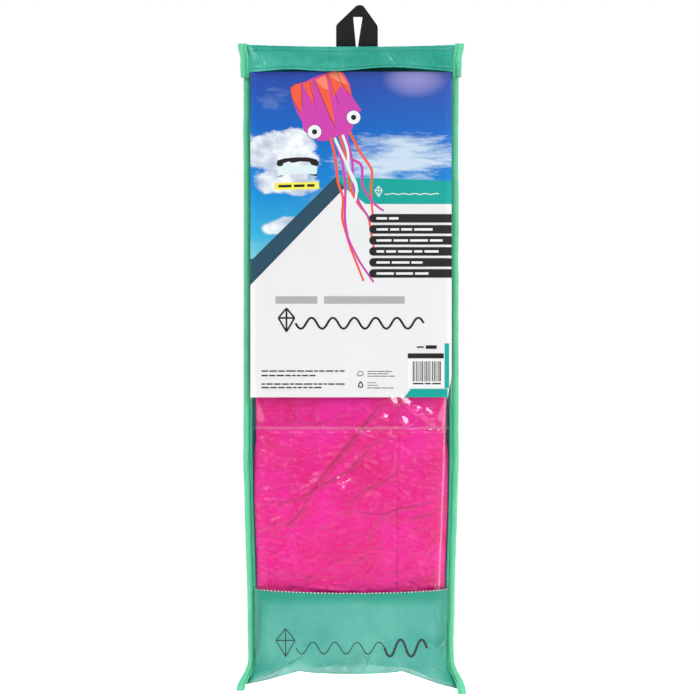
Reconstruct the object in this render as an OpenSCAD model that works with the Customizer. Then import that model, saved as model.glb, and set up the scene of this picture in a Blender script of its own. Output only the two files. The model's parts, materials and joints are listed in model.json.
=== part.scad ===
// Octopus kite packed in its hanging sleeve.
// Millimetres, +Z up, the front faces -Y. The origin is the top of the hang loop's eye,
// where a peg carries the pack.

/* [Sleeve] */
// Width across the two side bindings
sleeve_w = 216; // [170:1:280]
// Height from the top fold to the bottom fold at mid width
sleeve_h = 629; // [520:1:760]
// How much lower the bottom corners hang than the middle
corner_drop = 16; // [4:1:30]
// How far each bottom corner stands out sideways
ear_out = 8; // [2:1:14]
// Height of the flared part of each bottom corner
ear_h = 30; // [15:1:50]
// Depth of the sleeve behind the card
card_depth = 22.5; // [20:0.5:26]
// Depth of the sleeve where the kite fills it
kite_depth = 30; // [26:0.5:44]
// How square the cross-section is, as the power of its curve
squareness = 8; // [5:1:12]

/* [Cloth and film] */
// Thickness of the sleeve's nylon
cloth_t = 0.5; // [0.3:0.1:0.8]
// Thickness of the clear film
film_t = 0.3; // [0.2:0.1:0.5]
// Width of the binding tape once folded over an edge
binding_w = 8.5; // [6:0.5:12]
// Height of the lower panel at mid width
panel_h = 84; // [60:1:120]
// Height of the window between the card pocket's seam and the lower panel
lower_window_h = 162; // [120:1:200]
// Length of the shut flap, measured along the cloth
flap_len = 32; // [30:1:44]
// Depth that the flap's roof spans over the mouth
flap_stand = 4; // [3.8:0.2:6]

/* [Card] */
// Gap between each side of the card and the line where the front leaves the side seam
card_clear = 0.8; // [0.5:0.1:20]
// Thickness of the card
card_t = 0.5; // [0.3:0.1:0.8]
// Gap between the card's lower edge and the seam that closes its pocket
card_lift = 31; // [2:1:60]

/* [Hang loop] */
// Width of the webbing
webbing_w = 20; // [15:1:25]
// Thickness of the webbing
webbing_t = 1.4; // [1:0.1:2]
// Height of the loop's eye above the top fold
eye_h = 30; // [22:1:45]
// Width of the eye at its top
eye_w = 10; // [7:0.5:16]
// Gap between the two legs where they reach the sleeve
leg_gap = 2; // [1:0.5:4]
// Height of the webbing over the eye
roof_h = 12; // [8:0.5:16]
// Distance of the loop to the right of the sleeve's middle
loop_offset = 6; // [0:1:20]
// Length of the webbing's two ends that are sewn to the back
loop_end_len = 26; // [15:1:40]

/* [Kite bundle] */
// Thickness of the folded top skin
skin_t = 3; // [2:0.5:4]
// Distance from the canopy's lower end to the bottom fold
bundle_clear = 12; // [6:1:30]
// Gap on each side between the bundle behind its skin and the side seam's line
bundle_side = 15; // [12:1:30]
// Height of a folded tentacle
tentacle_h = 88; // [60:1:110]
// Thickness of a folded tentacle
tentacle_t = 11; // [6:0.5:11.5]
// Gap between the two eyes
eye_gap = 16; // [12:1:30]
// Diameter of a pupil
pupil_d = 28; // [18:1:36]
// Gap between the reel and the tentacles
contents_gap = 17; // [5:1:40]

/* [Reel] */
// Gap on each side between the reel and the side seam's line
reel_side = 24; // [18:1:40]
// Thickness of the reel
reel_t = 15; // [12:0.5:15.5]
// Height of the finger gap under the grip
finger_h = 18; // [16:1:22]
// Height of the wound line
winding_h = 27; // [20:1:30]
// Distance from the top fold to the reel's grip
reel_drop = 60; // [58:1:64]

/* [Hidden] */
eps = 0.1;                  // gap between two sewn layers
slack = 0.3;                // gap between pieces that move past each other
half_w = sleeve_w / 2;
rise_w = half_w - binding_w - 0.5;  // half width where the front leaves the side seams
panel_drop = sleeve_h - panel_h;    // drops are measured down from the top fold
pocket_drop = panel_drop - lower_window_h;
card_drop = pocket_drop - card_lift;
bundle_w = 2 * (rise_w - bundle_side);
eye_d = bundle_w / 2 - eye_gap;
reel_w = 2 * (rise_w - reel_side);
tentacles = 8;
// Inward offsets of the layers from the sleeve's outermost front surface
film_o = cloth_t + eps;
card_o = film_o + film_t + slack;
pocket_o = card_o + card_t + slack;
inside_o = pocket_o + film_t + 0.4;
seam_stack = inside_o + 0.5;  // thickness of all the layers at a side seam
flap_o = -flap_stand;         // inward offset of the flap's outer face, so it stands proud
flap_t = 2 * cloth_t;         // the flap is two layers of cloth
tape_t = 1;                   // thickness of each half of the hook and loop closure
thread_t = 0.3;               // how far a stitch stands out
thread_w = 0.5;
mouth_s = 0.4;                // share of the slope under the flap where the front's cloth begins
mouth_lap = 0.05;             // share of the slope by which the films start above or below it
card_row = 60;                // drop of the first level row of points below the slope
TAPE_S = [0.45, 0.6, 0.8];    // shares of the slope that the closure covers
// Stations down the sleeve
TOP = 0;    // 0 to 1 over the slope under the flap
MID = 1;    // a distance below the top fold
END = 2;    // 0 to 1 over the lower panel
// Shares of the half width at which every curved sheet has a column of points
COLUMNS = [0.25, 0.45, 0.6, 0.7, 0.78, 0.85, 0.9, 0.94, 0.97, 0.99];
BEYOND = 2; // column number of the flat strip inside a side seam
swell_h = 80;  // height over which the depth grows from the card's to the kite's
swell_gap = 4; // distance from the pocket seam to the start of that growth

TEAL = [0.2, 0.7, 0.6];
MINT = [0.45, 0.84, 0.65];
PINK = [0.93, 0.1, 0.52];
ORANGE = [0.98, 0.36, 0.3];
WHITE = [0.95, 0.95, 0.95];
BLACK = [0.1, 0.1, 0.11];
GREY = [0.6, 0.6, 0.62];
CLEAR = [0.85, 0.92, 0.95, 0.3];

// ---- Shape of the sleeve -------------------------------------------------------------

function ease(a) = let (b = min(1, max(0, a))) b * b * (3 - 2 * b);
function crown(t) = abs(t) >= 1 ? 0 : sqrt(1 - pow(abs(t), squareness));
function side_x(z) = half_w + ear_out * ease((-z - (sleeve_h + corner_drop - ear_h)) / ear_h);
function bottom_z(x) = -sleeve_h - corner_drop * pow(min(1, abs(x) / half_w), 3);
function depth(z) =
    card_depth + (kite_depth - card_depth) * ease((-z - pocket_drop - swell_gap) / swell_h);
// Height of the slope under the flap: the flap's length is shared between depth and height.
function slope_h(t) = sqrt(pow(flap_len, 2) - pow((card_depth - seam_stack) * crown(t), 2));

function column_x(c, o) = abs(c) == BEYOND ? sign(c) * (half_w - 1) : c * (rise_w - o);
// Height of a station, for a column c.
function station_z(c, kind, s, o) =
    kind == TOP ? -s * slope_h(c)
    : kind == MID ? -s
    : let (x = column_x(c, o)) -panel_drop + s * (bottom_z(x) + panel_drop);
// Distance from the back of the sleeve to its outermost front surface.
function station_stack(kind, s) =
    kind == END ? seam_stack - (seam_stack - 2 * cloth_t - eps) * pow(s, 4) : seam_stack;
function station_depth(kind, s) =
    kind == TOP ? seam_stack + (card_depth - seam_stack) * s
    : kind == MID ? depth(-s)
    : seam_stack + (depth(-panel_drop) - seam_stack) * sqrt(1 - min(1, s * s));
function surface_y(c, kind, s, o) =
    let (stack = station_stack(kind, s))
    -(stack - o) - max(0, station_depth(kind, s) - seam_stack) * crown(c);
function surface_point(c, kind, s, o) =
    let (z = station_z(c, kind, s, o))
    [abs(c) == BEYOND ? sign(c) * (side_x(z) - 1) : column_x(c, o), surface_y(c, kind, s, o), z];

// Columns from share a to share b of the half width.
function columns(a, b) = concat(
    [a],
    [for (i = [len(COLUMNS) - 1:-1:0]) if (-COLUMNS[i] > a && -COLUMNS[i] < b) -COLUMNS[i]],
    a < 0 && b > 0 ? [0] : [],
    [for (c = COLUMNS) if (c > a && c < b) c],
    [b]
);
function seam_to_seam() = concat([-BEYOND], columns(-1, 1), [BEYOND]);

// A closed sheet between an outer and an inner grid of points, rows by columns.
module grid_solid(outer, inner) {
    rows = len(outer);
    cols = len(outer[0]);
    points = concat([for (r = outer) each r], [for (r = inner) each r]);
    function at(r, c, side) = (side * rows + r) * cols + c;
    function quad(a, b, c, d) = [[a, b, c], [a, c, d]];
    faces = concat(
        [for (r = [0:rows - 2]) for (c = [0:cols - 2])
            each quad(at(r, c, 0), at(r, c + 1, 0), at(r + 1, c + 1, 0), at(r + 1, c, 0))],
        [for (r = [0:rows - 2]) for (c = [0:cols - 2])
            each quad(at(r, c, 1), at(r + 1, c, 1), at(r + 1, c + 1, 1), at(r, c + 1, 1))],
        [for (c = [0:cols - 2])
            each quad(at(0, c + 1, 0), at(0, c, 0), at(0, c, 1), at(0, c + 1, 1))],
        [for (c = [0:cols - 2])
            each quad(at(rows - 1, c, 0), at(rows - 1, c + 1, 0), at(rows - 1, c + 1, 1), at(rows - 1, c, 1))],
        [for (r = [0:rows - 2])
            each quad(at(r, 0, 0), at(r + 1, 0, 0), at(r + 1, 0, 1), at(r, 0, 1))],
        [for (r = [0:rows - 2])
            each quad(at(r + 1, cols - 1, 0), at(r, cols - 1, 0), at(r, cols - 1, 1), at(r + 1, cols - 1, 1))]
    );
    polyhedron(points, faces, convexity = 6);
}

// A curved sheet. Each row is [kind, station, outer offset, inner offset].
module sheet(cols, rows)
    grid_solid(
        [for (r = rows) [for (c = cols) surface_point(c, r[0], r[1], r[2])]],
        [for (r = rows) [for (c = cols) surface_point(c, r[0], r[1], r[3])]]
    );

// A block whose front follows the sleeve and whose back is flat at y = back.
module block(cols, rows, back)
    grid_solid(
        [for (r = rows) [for (c = cols) surface_point(c, r[0], r[1], r[2])]],
        [for (r = rows) [for (c = cols) let (p = surface_point(c, r[0], r[1], r[2])) [p[0], back, p[2]]]]
    );

// One row of stitches across a curved sheet, lying on the offset o.
module stitch_row(a, b, count, kind, s, s_width, o) {
    pitch = (b - a) / count;
    for (i = [0:count - 1])
        sheet(columns(a + (i + 0.15) * pitch, a + (i + 0.85) * pitch),
              [[kind, s, o - thread_t, o - eps / 2], [kind, s + s_width, o - thread_t, o - eps / 2]]);
}

// An outline in X and Z, from y = front to y = back.
module upright(front, back)
    translate([0, back, 0]) rotate([90, 0, 0]) linear_extrude(back - front) children();

module rounded(w, h, r)
    hull() for (x = [-1, 1], y = [-1, 1])
        translate([x * (w / 2 - r), y * (h / 2 - r)]) circle(r, $fn = 32);

// Moves the sleeve so that the loop's eye is over the origin.
module in_place() translate([-loop_offset, 0, -eye_h]) children();

// ---- Sleeve --------------------------------------------------------------------------

EDGE_Z = [for (i = [0:12]) -(sleeve_h + corner_drop - ear_h) - ear_h * i / 12];
// Stations down the lower panel, closer together beside the flared corners
ear_share = ear_h / (panel_h + corner_drop);
PANEL_S = concat(
    [for (s = [0.001, 0.15, 0.3, 0.45, 0.6, 0.72, 0.8]) if (s < 1 - ear_share - 0.02) s],
    [for (i = [0:8]) 1 - ear_share * (1 - i / 8)]
);

module back_panel() color(TEAL) in_place() {
    steps = 16;
    inset = 1;
    upright(-cloth_t, 0) polygon(concat(
        [[-half_w + inset, -slack], [half_w - inset, -slack]],
        [for (z = EDGE_Z) [side_x(z) - inset, z]],
        [for (i = [0:steps]) let (x = (1 - 2 * i / steps) * (half_w - inset)) [x, bottom_z(x)]],
        [for (i = [len(EDGE_Z) - 1:-1:0]) [inset - side_x(EDGE_Z[i]), EDGE_Z[i]]]
    ));
    // The rear half of the fold over the mouth
    translate([-rise_w + 4, -flap_axis_y() + slack, -slack - cloth_t])
        cube([2 * rise_w - 8, flap_axis_y() - slack, cloth_t]);
}
function flap_axis_y() = (seam_stack + flap_stand) / 2;

module window_film() color(CLEAR) in_place() {
    f = film_o;
    g = film_o + film_t;
    sheet(seam_to_seam(), concat(
        [for (s = [mouth_s - mouth_lap, mouth_s, 0.6, 0.9, 1]) [TOP, s, f, g]],
        [for (z = [card_row, pocket_drop + swell_gap]) [MID, z, f, g]],
        [for (i = [1:6]) [MID, pocket_drop + swell_gap + swell_h * i / 6, f, g]],
        [[MID, panel_drop, f, g], [END, 0.06, f, g]]
    ));
}

module pocket_film() color(CLEAR) in_place() {
    f = pocket_o;
    g = pocket_o + film_t;
    lip = film_o + film_t + eps;
    sheet(seam_to_seam(), concat(
        [for (s = [mouth_s + mouth_lap, 0.6, 0.8, 1]) [TOP, s, f, g]],
        [[MID, card_row, f, g], [MID, pocket_drop - 1, f, g], [MID, pocket_drop + 1, lip, lip + film_t]]
    ));
}

module front_panel() color(TEAL) in_place()
    sheet(seam_to_seam(), concat(
        [[MID, panel_drop - 3, 0, cloth_t]],
        [for (s = PANEL_S) [END, s, 0, cloth_t]]
    ));

module mouth_hem() color(TEAL) in_place()
    sheet(columns(-0.97, 0.97), [for (s = [mouth_s, 0.6, 0.9]) [TOP, s, 0, cloth_t]]);

module closure_loop_tape() color(BLACK) in_place()
    sheet(columns(-0.5, 0.5), [for (s = TAPE_S) [TOP, s, -eps - tape_t, -eps]]);

// Tape folded round the sleeve's side edge, on the side of x given by side.
function end_point() = [side_x(-1000), bottom_z(half_w) - 1.5];
function inward(points, d) = [for (p = points) [p[0] - d, p[1]]];
function turned(points) = [for (i = [len(points) - 1:-1:0]) points[i]];
module side_binding(side) color(MINT) in_place() mirror([side < 0 ? 1 : 0, 0, 0]) {
    wall = 0.6;
    top = -1.5;
    outline = concat([[half_w, top]], [for (z = EDGE_Z) [side_x(z), z]], [end_point()]);
    low = end_point()[1] - 5;
    difference() {
        upright(-seam_stack - eps - wall, eps + wall)
            polygon(concat(outline, turned(inward(outline, binding_w))));
        upright(-seam_stack - eps, eps) polygon(concat(
            [[half_w - 2 * binding_w, top + 5]],
            [[half_w - wall, top + 5]],
            inward(outline, wall),
            [[side_x(-1000) - wall, low], [half_w - 2 * binding_w, low]]
        ));
    }
}

module binding_stitching() color(MINT) in_place() {
    count = 50;
    first = 40;
    pitch = (sleeve_h - ear_h - first) / count;
    for (side = [-1, 1], i = [0:count - 1])
        translate([side * (half_w - binding_w + 1.5), -seam_stack - eps - 0.6 - thread_t / 2 - eps / 2,
                   -first - (i + 0.5) * pitch])
            cube([thread_w, thread_t, 0.7 * pitch], center = true);
}

module pocket_seam_stitching() color(GREY) in_place()
    stitch_row(-0.98, 0.98, 44, MID, pocket_drop - 0.3, 0.6, film_o);

module panel_seam_stitching() color(TEAL) in_place()
    stitch_row(-0.98, 0.98, 44, END, 0.012, 0.006, 0);

// ---- Flap ----------------------------------------------------------------------------

flap_half_w = half_w + 2.5;
flap_widen = 2.5;  // how much wider the flap's bulge is than the front's

// The flap's skin: a roof over the mouth, then the slope down the front.
function flap_point(c, row, inward) =
    let (o = flap_o + inward, wide = abs(c) == BEYOND ? sign(c) * flap_half_w : column_x(c, -flap_widen))
    row[0] < 0
    ? [wide, -flap_axis_y() - 0.5, flap_t - inward]
    : [wide, surface_y(c, TOP, row[1], o), -row[1] * slope_h(c) + (1 - row[1]) * (flap_t - inward)];
FLAP_ROWS = [[-1, 0], [TOP, 0], [TOP, 0.1], [TOP, 0.35], [TOP, 0.6], [TOP, 0.8], [TOP, 1]];

module flap_panel() color(TEAL) in_place()
    grid_solid(
        [for (r = FLAP_ROWS) [for (c = seam_to_seam()) flap_point(c, r, 0)]],
        [for (r = FLAP_ROWS) [for (c = seam_to_seam()) flap_point(c, r, flap_t)]]
    );

module flap_binding(side) color(MINT) in_place() mirror([side < 0 ? 1 : 0, 0, 0]) {
    wall = 0.5;
    outer_x = flap_half_w + eps + wall;
    front = -seam_stack + flap_o - eps - wall;
    back = -seam_stack + flap_o + flap_t + eps + wall;
    below = flap_len + 0.5;
    difference() {
        translate([outer_x - binding_w, front, -below]) cube([binding_w, back - front, below - 1.5]);
        translate([outer_x - binding_w - 1, front + wall, -below - 1])
            cube([binding_w + 1 - wall, back - front - 2 * wall, below + 2]);
    }
}

module closure_hook_tape() color(BLACK) in_place()
    grid_solid(
        [for (s = TAPE_S) [for (c = columns(-0.5, 0.5)) flap_point(c, [TOP, s], flap_t + eps)]],
        [for (s = TAPE_S) [for (c = columns(-0.5, 0.5)) flap_point(c, [TOP, s], flap_t + eps + tape_t)]]
    );

module flap_stitching() color(TEAL) in_place() {
    count = 44;
    pitch = 1.96 / count;
    for (s = [0.2, 0.9], i = [0:count - 1]) {
        cols = columns(-0.98 + (i + 0.15) * pitch, -0.98 + (i + 0.85) * pitch);
        grid_solid(
            [for (d = [0, 0.018]) [for (c = cols) flap_point(c, [TOP, s + d], -thread_t - eps)]],
            [for (d = [0, 0.018]) [for (c = cols) flap_point(c, [TOP, s + d], -1.5 * eps)]]
        );
    }
}

// ---- Hang loop -----------------------------------------------------------------------

loop_y = webbing_t / 2 + 0.5;  // middle of the webbing, behind the back panel
loop_axis_z = 1;               // height of the webbing's bend above the top fold

module hang_loop() color(BLACK) {
    base = loop_axis_z - eye_h;
    outer = leg_gap / 2 + webbing_w;
    shoulder = roof_h - webbing_w;
    peak = 2;
    translate([0, loop_y + webbing_t / 2, 0]) rotate([90, 0, 0]) linear_extrude(webbing_t)
        difference() {
            polygon([[-outer, base], [-outer, shoulder], [-peak, roof_h], [peak, roof_h],
                     [outer, shoulder], [outer, base]]);
            polygon([[-leg_gap / 2, base - 1], [-eye_w / 2, 0], [eye_w / 2, 0], [leg_gap / 2, base - 1]]);
        }
}

module loop_ends() color(BLACK)
    for (side = [-1, 1])
        translate([side * (leg_gap + webbing_w) / 2 - webbing_w / 2, loop_y - webbing_t / 2, -eye_h - loop_end_len])
            cube([webbing_w, webbing_t, loop_end_len + loop_axis_z - 1.8]);

// A box of stitches with a cross through it on each sewn end.
module loop_end_stitching() color(BLACK) {
    w = webbing_w - 6;
    h = loop_end_len - 8;
    turn = atan(h / w);
    y = loop_y + webbing_t / 2 + thread_t / 2 + eps / 2;
    for (side = [-1, 1]) translate([side * (leg_gap + webbing_w) / 2, y, -eye_h - loop_end_len / 2 - 1]) {
        for (x = [-w / 2, w / 2]) translate([x, 0, 0]) cube([thread_w, thread_t, h - 2], center = true);
        for (z = [-h / 2, h / 2]) translate([0, 0, z]) cube([w - 2, thread_t, thread_w], center = true);
        rotate([0, turn, 0]) cube([w - 2, thread_t, thread_w], center = true);
    }
}

// ---- Contents ------------------------------------------------------------------------

card_share = 1 - card_clear / (rise_w - card_o);

// The card's top edge follows the end of the slope under the flap.
function card_edge(c, o) = let (p = surface_point(c, MID, card_row, o)) [p[0], p[1], -slope_h(c) - 1.5];
function card_rows(cols, o) = [
    [for (c = cols) card_edge(c, o)],
    for (z = [card_row, card_drop]) [for (c = cols) surface_point(c, MID, z, o)]
];
module insert_card() color(WHITE) in_place() {
    cols = columns(-card_share, card_share);
    grid_solid(card_rows(cols, card_o), card_rows(cols, card_o + card_t));
}

grip_h = 15;
flange_h = 3;
foot_h = 5;
reel_end = reel_drop + grip_h + finger_h + flange_h + winding_h + foot_h;
tentacle_low = reel_end + contents_gap + tentacle_h;  // drop of the tentacles' lower ends
bundle_drop = tentacle_low + 3;
skin_front = inside_o;              // offset of the folded kite where the card covers it
skin_free = film_o + film_t + 0.5;  // offset where only the film covers it
bundle_end = (sleeve_h - panel_drop - bundle_clear) / (sleeve_h - panel_drop);
left_seam = -0.57;                  // share of the half width where two gores meet
right_seam = 0.47;
seam_share = 0.004;
skin_share = 0.96;                  // share of the half width that the top skin covers

// One gore of the kite's top skin, folded over the bundle.
module kite_skin(a, b) color(PINK) in_place() {
    behind = skin_front;
    free = skin_free;
    sheet(columns(a, b), concat(
        [for (z = [bundle_drop, pocket_drop + swell_gap]) [MID, z, behind, behind + skin_t]],
        [for (i = [1:4]) [MID, pocket_drop + swell_gap + swell_h * i / 4, free, free + skin_t]],
        [[MID, panel_drop, free, free + skin_t]],
        [for (s = [0.3, 0.6, bundle_end]) [END, s, free, free + skin_t]]
    ));
}

ribs_back = cloth_t + eps + 5;

// The cells' ribs and the rest of the canopy, folded flat.
module kite_ribs() color(PINK) in_place() {
    a = bundle_w / 2 / rise_w;
    o = skin_front + skin_t + 0.3;
    block(columns(-a, a), concat(
        [for (z = [bundle_drop, pocket_drop + swell_gap]) [MID, z, o]],
        [for (i = [1:4]) [MID, pocket_drop + swell_gap + swell_h * i / 4, o]],
        [[MID, panel_drop, o], [END, 0.3, o], [END, 0.5, o]]
    ), -ribs_back);
}

module kite_lower_skin() color(PINK) in_place() {
    h = panel_drop + 0.5 * (sleeve_h - panel_drop) - bundle_drop;
    upright(-ribs_back + 0.3, -cloth_t - 0.3)
        translate([0, -bundle_drop - h / 2]) rounded(bundle_w, h, 8);
}

tentacle_gap = 0.4;
function tentacle_color(i) = [PINK, ORANGE, PINK, WHITE, ORANGE, PINK, WHITE, ORANGE][i - 1];

// One long tail, folded to and fro into a flat stack beside the others.
module tentacle(i) color(tentacle_color(i)) in_place() {
    pitch = bundle_w / tentacles;
    back = -cloth_t - 0.3;
    translate([(i - (tentacles + 1) / 2) * pitch, 0, -tentacle_low])
        upright(back - tentacle_t, back)
            translate([0, tentacle_h / 2]) rounded(pitch - tentacle_gap, tentacle_h, 4);
}

eye_back = -cloth_t - 0.3 - tentacle_t - 0.3;
eye_t = 0.8;

module at_eye(side)
    in_place() translate([side * (eye_d + eye_gap) / 2, 0, -tentacle_low + tentacle_h / 2]) children();

module kite_eye(side) color(WHITE) at_eye(side)
    upright(eye_back - eye_t, eye_back) circle(d = eye_d, $fn = 64);

module kite_pupil(side) color(BLACK) at_eye(side)
    upright(eye_back - 2 * eye_t, eye_back - eye_t - eps / 2) circle(d = pupil_d, $fn = 48);

// The bridle lines, folded into a hank above the reel.
module bridle_hank() color(WHITE) in_place() {
    hank_w = 0.7 * reel_w;
    hank_h = 15;
    upright(-cloth_t - 0.3 - 9, -cloth_t - 0.3)
        translate([0, -reel_drop + 2 + hank_h / 2]) difference() {
            rounded(hank_w, hank_h, hank_h / 2 - 0.1);
            rounded(hank_w - hank_h, 3, 1.4);
        }
}

reel_back = -cloth_t - 0.4;
grip_wall = 17;  // width of the grip's frame on each side of the finger gap
core_w = reel_w - 2 * grip_wall;
core_t = 6;
reel_body_z = -reel_drop - grip_h - finger_h;  // top of the flange under the finger gap
winding_wall = 3.5;

// Grip, finger gap, core and feet, moulded in one piece.
module reel_frame() color(BLACK) in_place() {
    upright(reel_back - reel_t, reel_back) difference() {
        translate([0, -reel_drop - (grip_h + finger_h + flange_h) / 2])
            rounded(reel_w, grip_h + finger_h + flange_h, 12);
        translate([0, -reel_drop - grip_h - finger_h / 2]) rounded(core_w, finger_h, 7);
    }
    core_mid = reel_back - reel_t / 2;
    upright(core_mid - core_t / 2, core_mid + core_t / 2)
        translate([-core_w / 2, reel_body_z - flange_h - winding_h - foot_h]) square([core_w, winding_h + foot_h + 2]);
    for (side = [-1, 1])
        upright(reel_back - reel_t, reel_back)
            translate([side * (core_w / 2 - 8), reel_body_z - flange_h - winding_h - foot_h / 2])
                rounded(28, foot_h, 2.2);
}

// The line, wound round the reel's core.
module line_winding() color(WHITE) in_place()
    translate([0, reel_back - reel_t / 2, reel_body_z - flange_h - winding_h + slack])
        linear_extrude(winding_h - 2 * slack) difference() {
            rounded(core_w + 2 * winding_wall + 1, core_t + 2 * winding_wall + 1, 5);
            square([core_w + 2 * eps, core_t + 2 * eps], center = true);
        }

// ---- What is drawn -------------------------------------------------------------------

hang_loop();
back_panel();
front_panel();
window_film();
pocket_film();
side_binding(-1);  // left_binding
side_binding(1);  // right_binding
mouth_hem();
closure_loop_tape();
loop_ends();
loop_end_stitching();
pocket_seam_stitching();
panel_seam_stitching();
binding_stitching();
flap_panel();
flap_binding(-1);  // flap_left_binding
flap_binding(1);  // flap_right_binding
closure_hook_tape();
flap_stitching();
insert_card();
kite_skin(-skin_share, left_seam - seam_share);  // kite_skin_left
kite_skin(left_seam + seam_share, right_seam - seam_share);  // kite_skin_center
kite_skin(right_seam + seam_share, skin_share);  // kite_skin_right
kite_ribs();
kite_lower_skin();
for (i = [1:tentacles]) tentacle(i);
kite_eye(-1);  // left_eye
kite_eye(1);  // right_eye
kite_pupil(-1);  // left_pupil
kite_pupil(1);  // right_pupil
bridle_hank();
reel_frame();
line_winding();
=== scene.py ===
import json
import math

import bmesh
import bpy
import numpy as np
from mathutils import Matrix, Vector


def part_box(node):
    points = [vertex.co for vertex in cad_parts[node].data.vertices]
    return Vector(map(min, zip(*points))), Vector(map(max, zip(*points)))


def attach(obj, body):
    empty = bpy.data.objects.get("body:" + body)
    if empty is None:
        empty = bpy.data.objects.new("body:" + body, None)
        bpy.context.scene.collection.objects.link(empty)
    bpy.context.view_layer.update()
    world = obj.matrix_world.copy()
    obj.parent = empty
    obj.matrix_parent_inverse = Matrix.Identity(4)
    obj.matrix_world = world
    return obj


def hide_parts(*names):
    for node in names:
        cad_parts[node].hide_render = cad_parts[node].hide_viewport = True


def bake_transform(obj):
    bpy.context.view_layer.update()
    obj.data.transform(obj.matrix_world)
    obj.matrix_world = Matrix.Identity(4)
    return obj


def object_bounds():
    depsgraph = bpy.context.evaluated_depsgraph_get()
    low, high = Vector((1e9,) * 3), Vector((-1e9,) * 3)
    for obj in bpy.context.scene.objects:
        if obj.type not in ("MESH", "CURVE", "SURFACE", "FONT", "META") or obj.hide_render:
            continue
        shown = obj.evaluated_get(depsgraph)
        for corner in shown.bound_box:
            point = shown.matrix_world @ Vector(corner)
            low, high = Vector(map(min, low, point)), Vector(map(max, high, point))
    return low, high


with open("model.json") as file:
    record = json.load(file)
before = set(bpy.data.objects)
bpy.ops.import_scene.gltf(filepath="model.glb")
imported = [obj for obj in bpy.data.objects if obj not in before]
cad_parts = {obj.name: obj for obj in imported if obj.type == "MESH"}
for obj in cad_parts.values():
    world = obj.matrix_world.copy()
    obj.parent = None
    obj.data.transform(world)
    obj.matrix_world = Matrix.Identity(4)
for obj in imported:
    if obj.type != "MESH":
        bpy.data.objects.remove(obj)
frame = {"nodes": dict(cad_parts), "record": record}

# Metres, in the CAD's frame: +Z up, +X to the viewer's right, the front faces -Y.
cad_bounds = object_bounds()
MM = 0.001


# ---- Sizes taken from the frame ------------------------------------------------------


def lowest(node):
    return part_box(node)[0]


def highest(node):
    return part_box(node)[1]


CLOTH = 0.5 * MM
EDGE_IN = 1 * MM  # the sheets' side edges lie this far inside the outer fold of the binding
WINDOW_O = CLOTH + 0.1 * MM  # the window film's distance inside the sleeve's outermost surface
POCKET_O = 2.0 * MM  # the pocket film's
PANEL_SAG = 4 * MM  # how much lower the lower panel's upper edge hangs at mid width
WEBBING_W = 20 * MM
RIBBON_LAYERS = 47  # makes a folded ribbon four metres long
CX = (lowest("left_binding").x + highest("right_binding").x) / 2
HALF_W = (highest("window_film").x - lowest("window_film").x) / 2 + EDGE_IN
EAR_OUT = highest("right_binding").x - CX - HALF_W
BINDING_W = highest("right_binding").x - lowest("right_binding").x - EAR_OUT
STACK = -lowest("left_binding").y - 0.7 * MM  # thickness of the layers at a side seam
RISE_W = HALF_W - BINDING_W + 1.4 * MM  # half width where the front leaves the side seams
FOLD_Z = highest("back_panel").z + 0.3 * MM  # the top fold
CARD_O = 1.2 * MM  # inward offset of the card from the sleeve's outermost surface
CARD_DEPTH = -lowest("insert_card").y + CARD_O
KITE_DEPTH = -lowest("front_panel").y
PANEL_DROP = FOLD_Z - highest("front_panel").z + 3 * MM
POCKET_DROP = FOLD_Z - (lowest("pocket_seam_stitching").z + highest("pocket_seam_stitching").z) / 2
CARD_DROP = FOLD_Z - lowest("insert_card").z
CORNER_DROP = 16 * MM
BOTTOM_DROP = FOLD_Z - lowest("left_binding").z - CORNER_DROP - 1.5 * MM
EAR_H = 30 * MM
FLAP_LEN = FOLD_Z - lowest("flap_panel").z
FLAP_STAND = 4 * MM  # how far the flap stands off the front
FLAP_HALF_W = (highest("flap_panel").x - lowest("flap_panel").x) / 2
BUNDLE_TOP = FOLD_Z - highest("kite_skin_center").z
SWELL_H = 80 * MM
SWELL_GAP = 4 * MM
LOOP_Y = (lowest("hang_loop").y + highest("hang_loop").y) / 2
LOOP_BEND_Z = lowest("hang_loop").z
CARD_HALF = RISE_W - 0.5 * MM
CARD_LEFT = CX - CARD_HALF
CARD_TOP = FOLD_Z - 27 * MM


# ---- Shape of the sleeve -------------------------------------------------------------


def ease(a):
    b = np.clip(a, 0, 1)
    return b * b * (3 - 2 * b)


def crown(t, power=8):
    return np.sqrt(np.clip(1 - np.abs(t) ** power, 0, 1))


def squareness(drop):
    """The stiff card holds the sleeve square, and the kite rounds it."""
    return 40 - 28 * ease((drop - CARD_DROP + 20 * MM) / (50 * MM))


def bottom_drop(x):
    """Lower edge: a round belly between two straight runs to the corners, the right one lower."""
    u = np.abs(x - CX)
    corner = (16 + 5 * (x > CX)) * MM * np.clip((u - 50 * MM) / (58 * MM), 0, 1.1)
    belly = 4 * MM * np.sqrt(np.clip(1 - (u / (53 * MM)) ** 2, 0, 1))
    return BOTTOM_DROP - 2.5 * MM + corner + belly


def side_x(drop):
    """Half width of the sleeve over its bindings."""
    return HALF_W + EAR_OUT * ease((drop - (BOTTOM_DROP + CORNER_DROP - EAR_H)) / EAR_H) ** 1.2


def slope_height(c):
    return np.sqrt(FLAP_LEN**2 - ((CARD_DEPTH - STACK) * c) ** 2)


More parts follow.
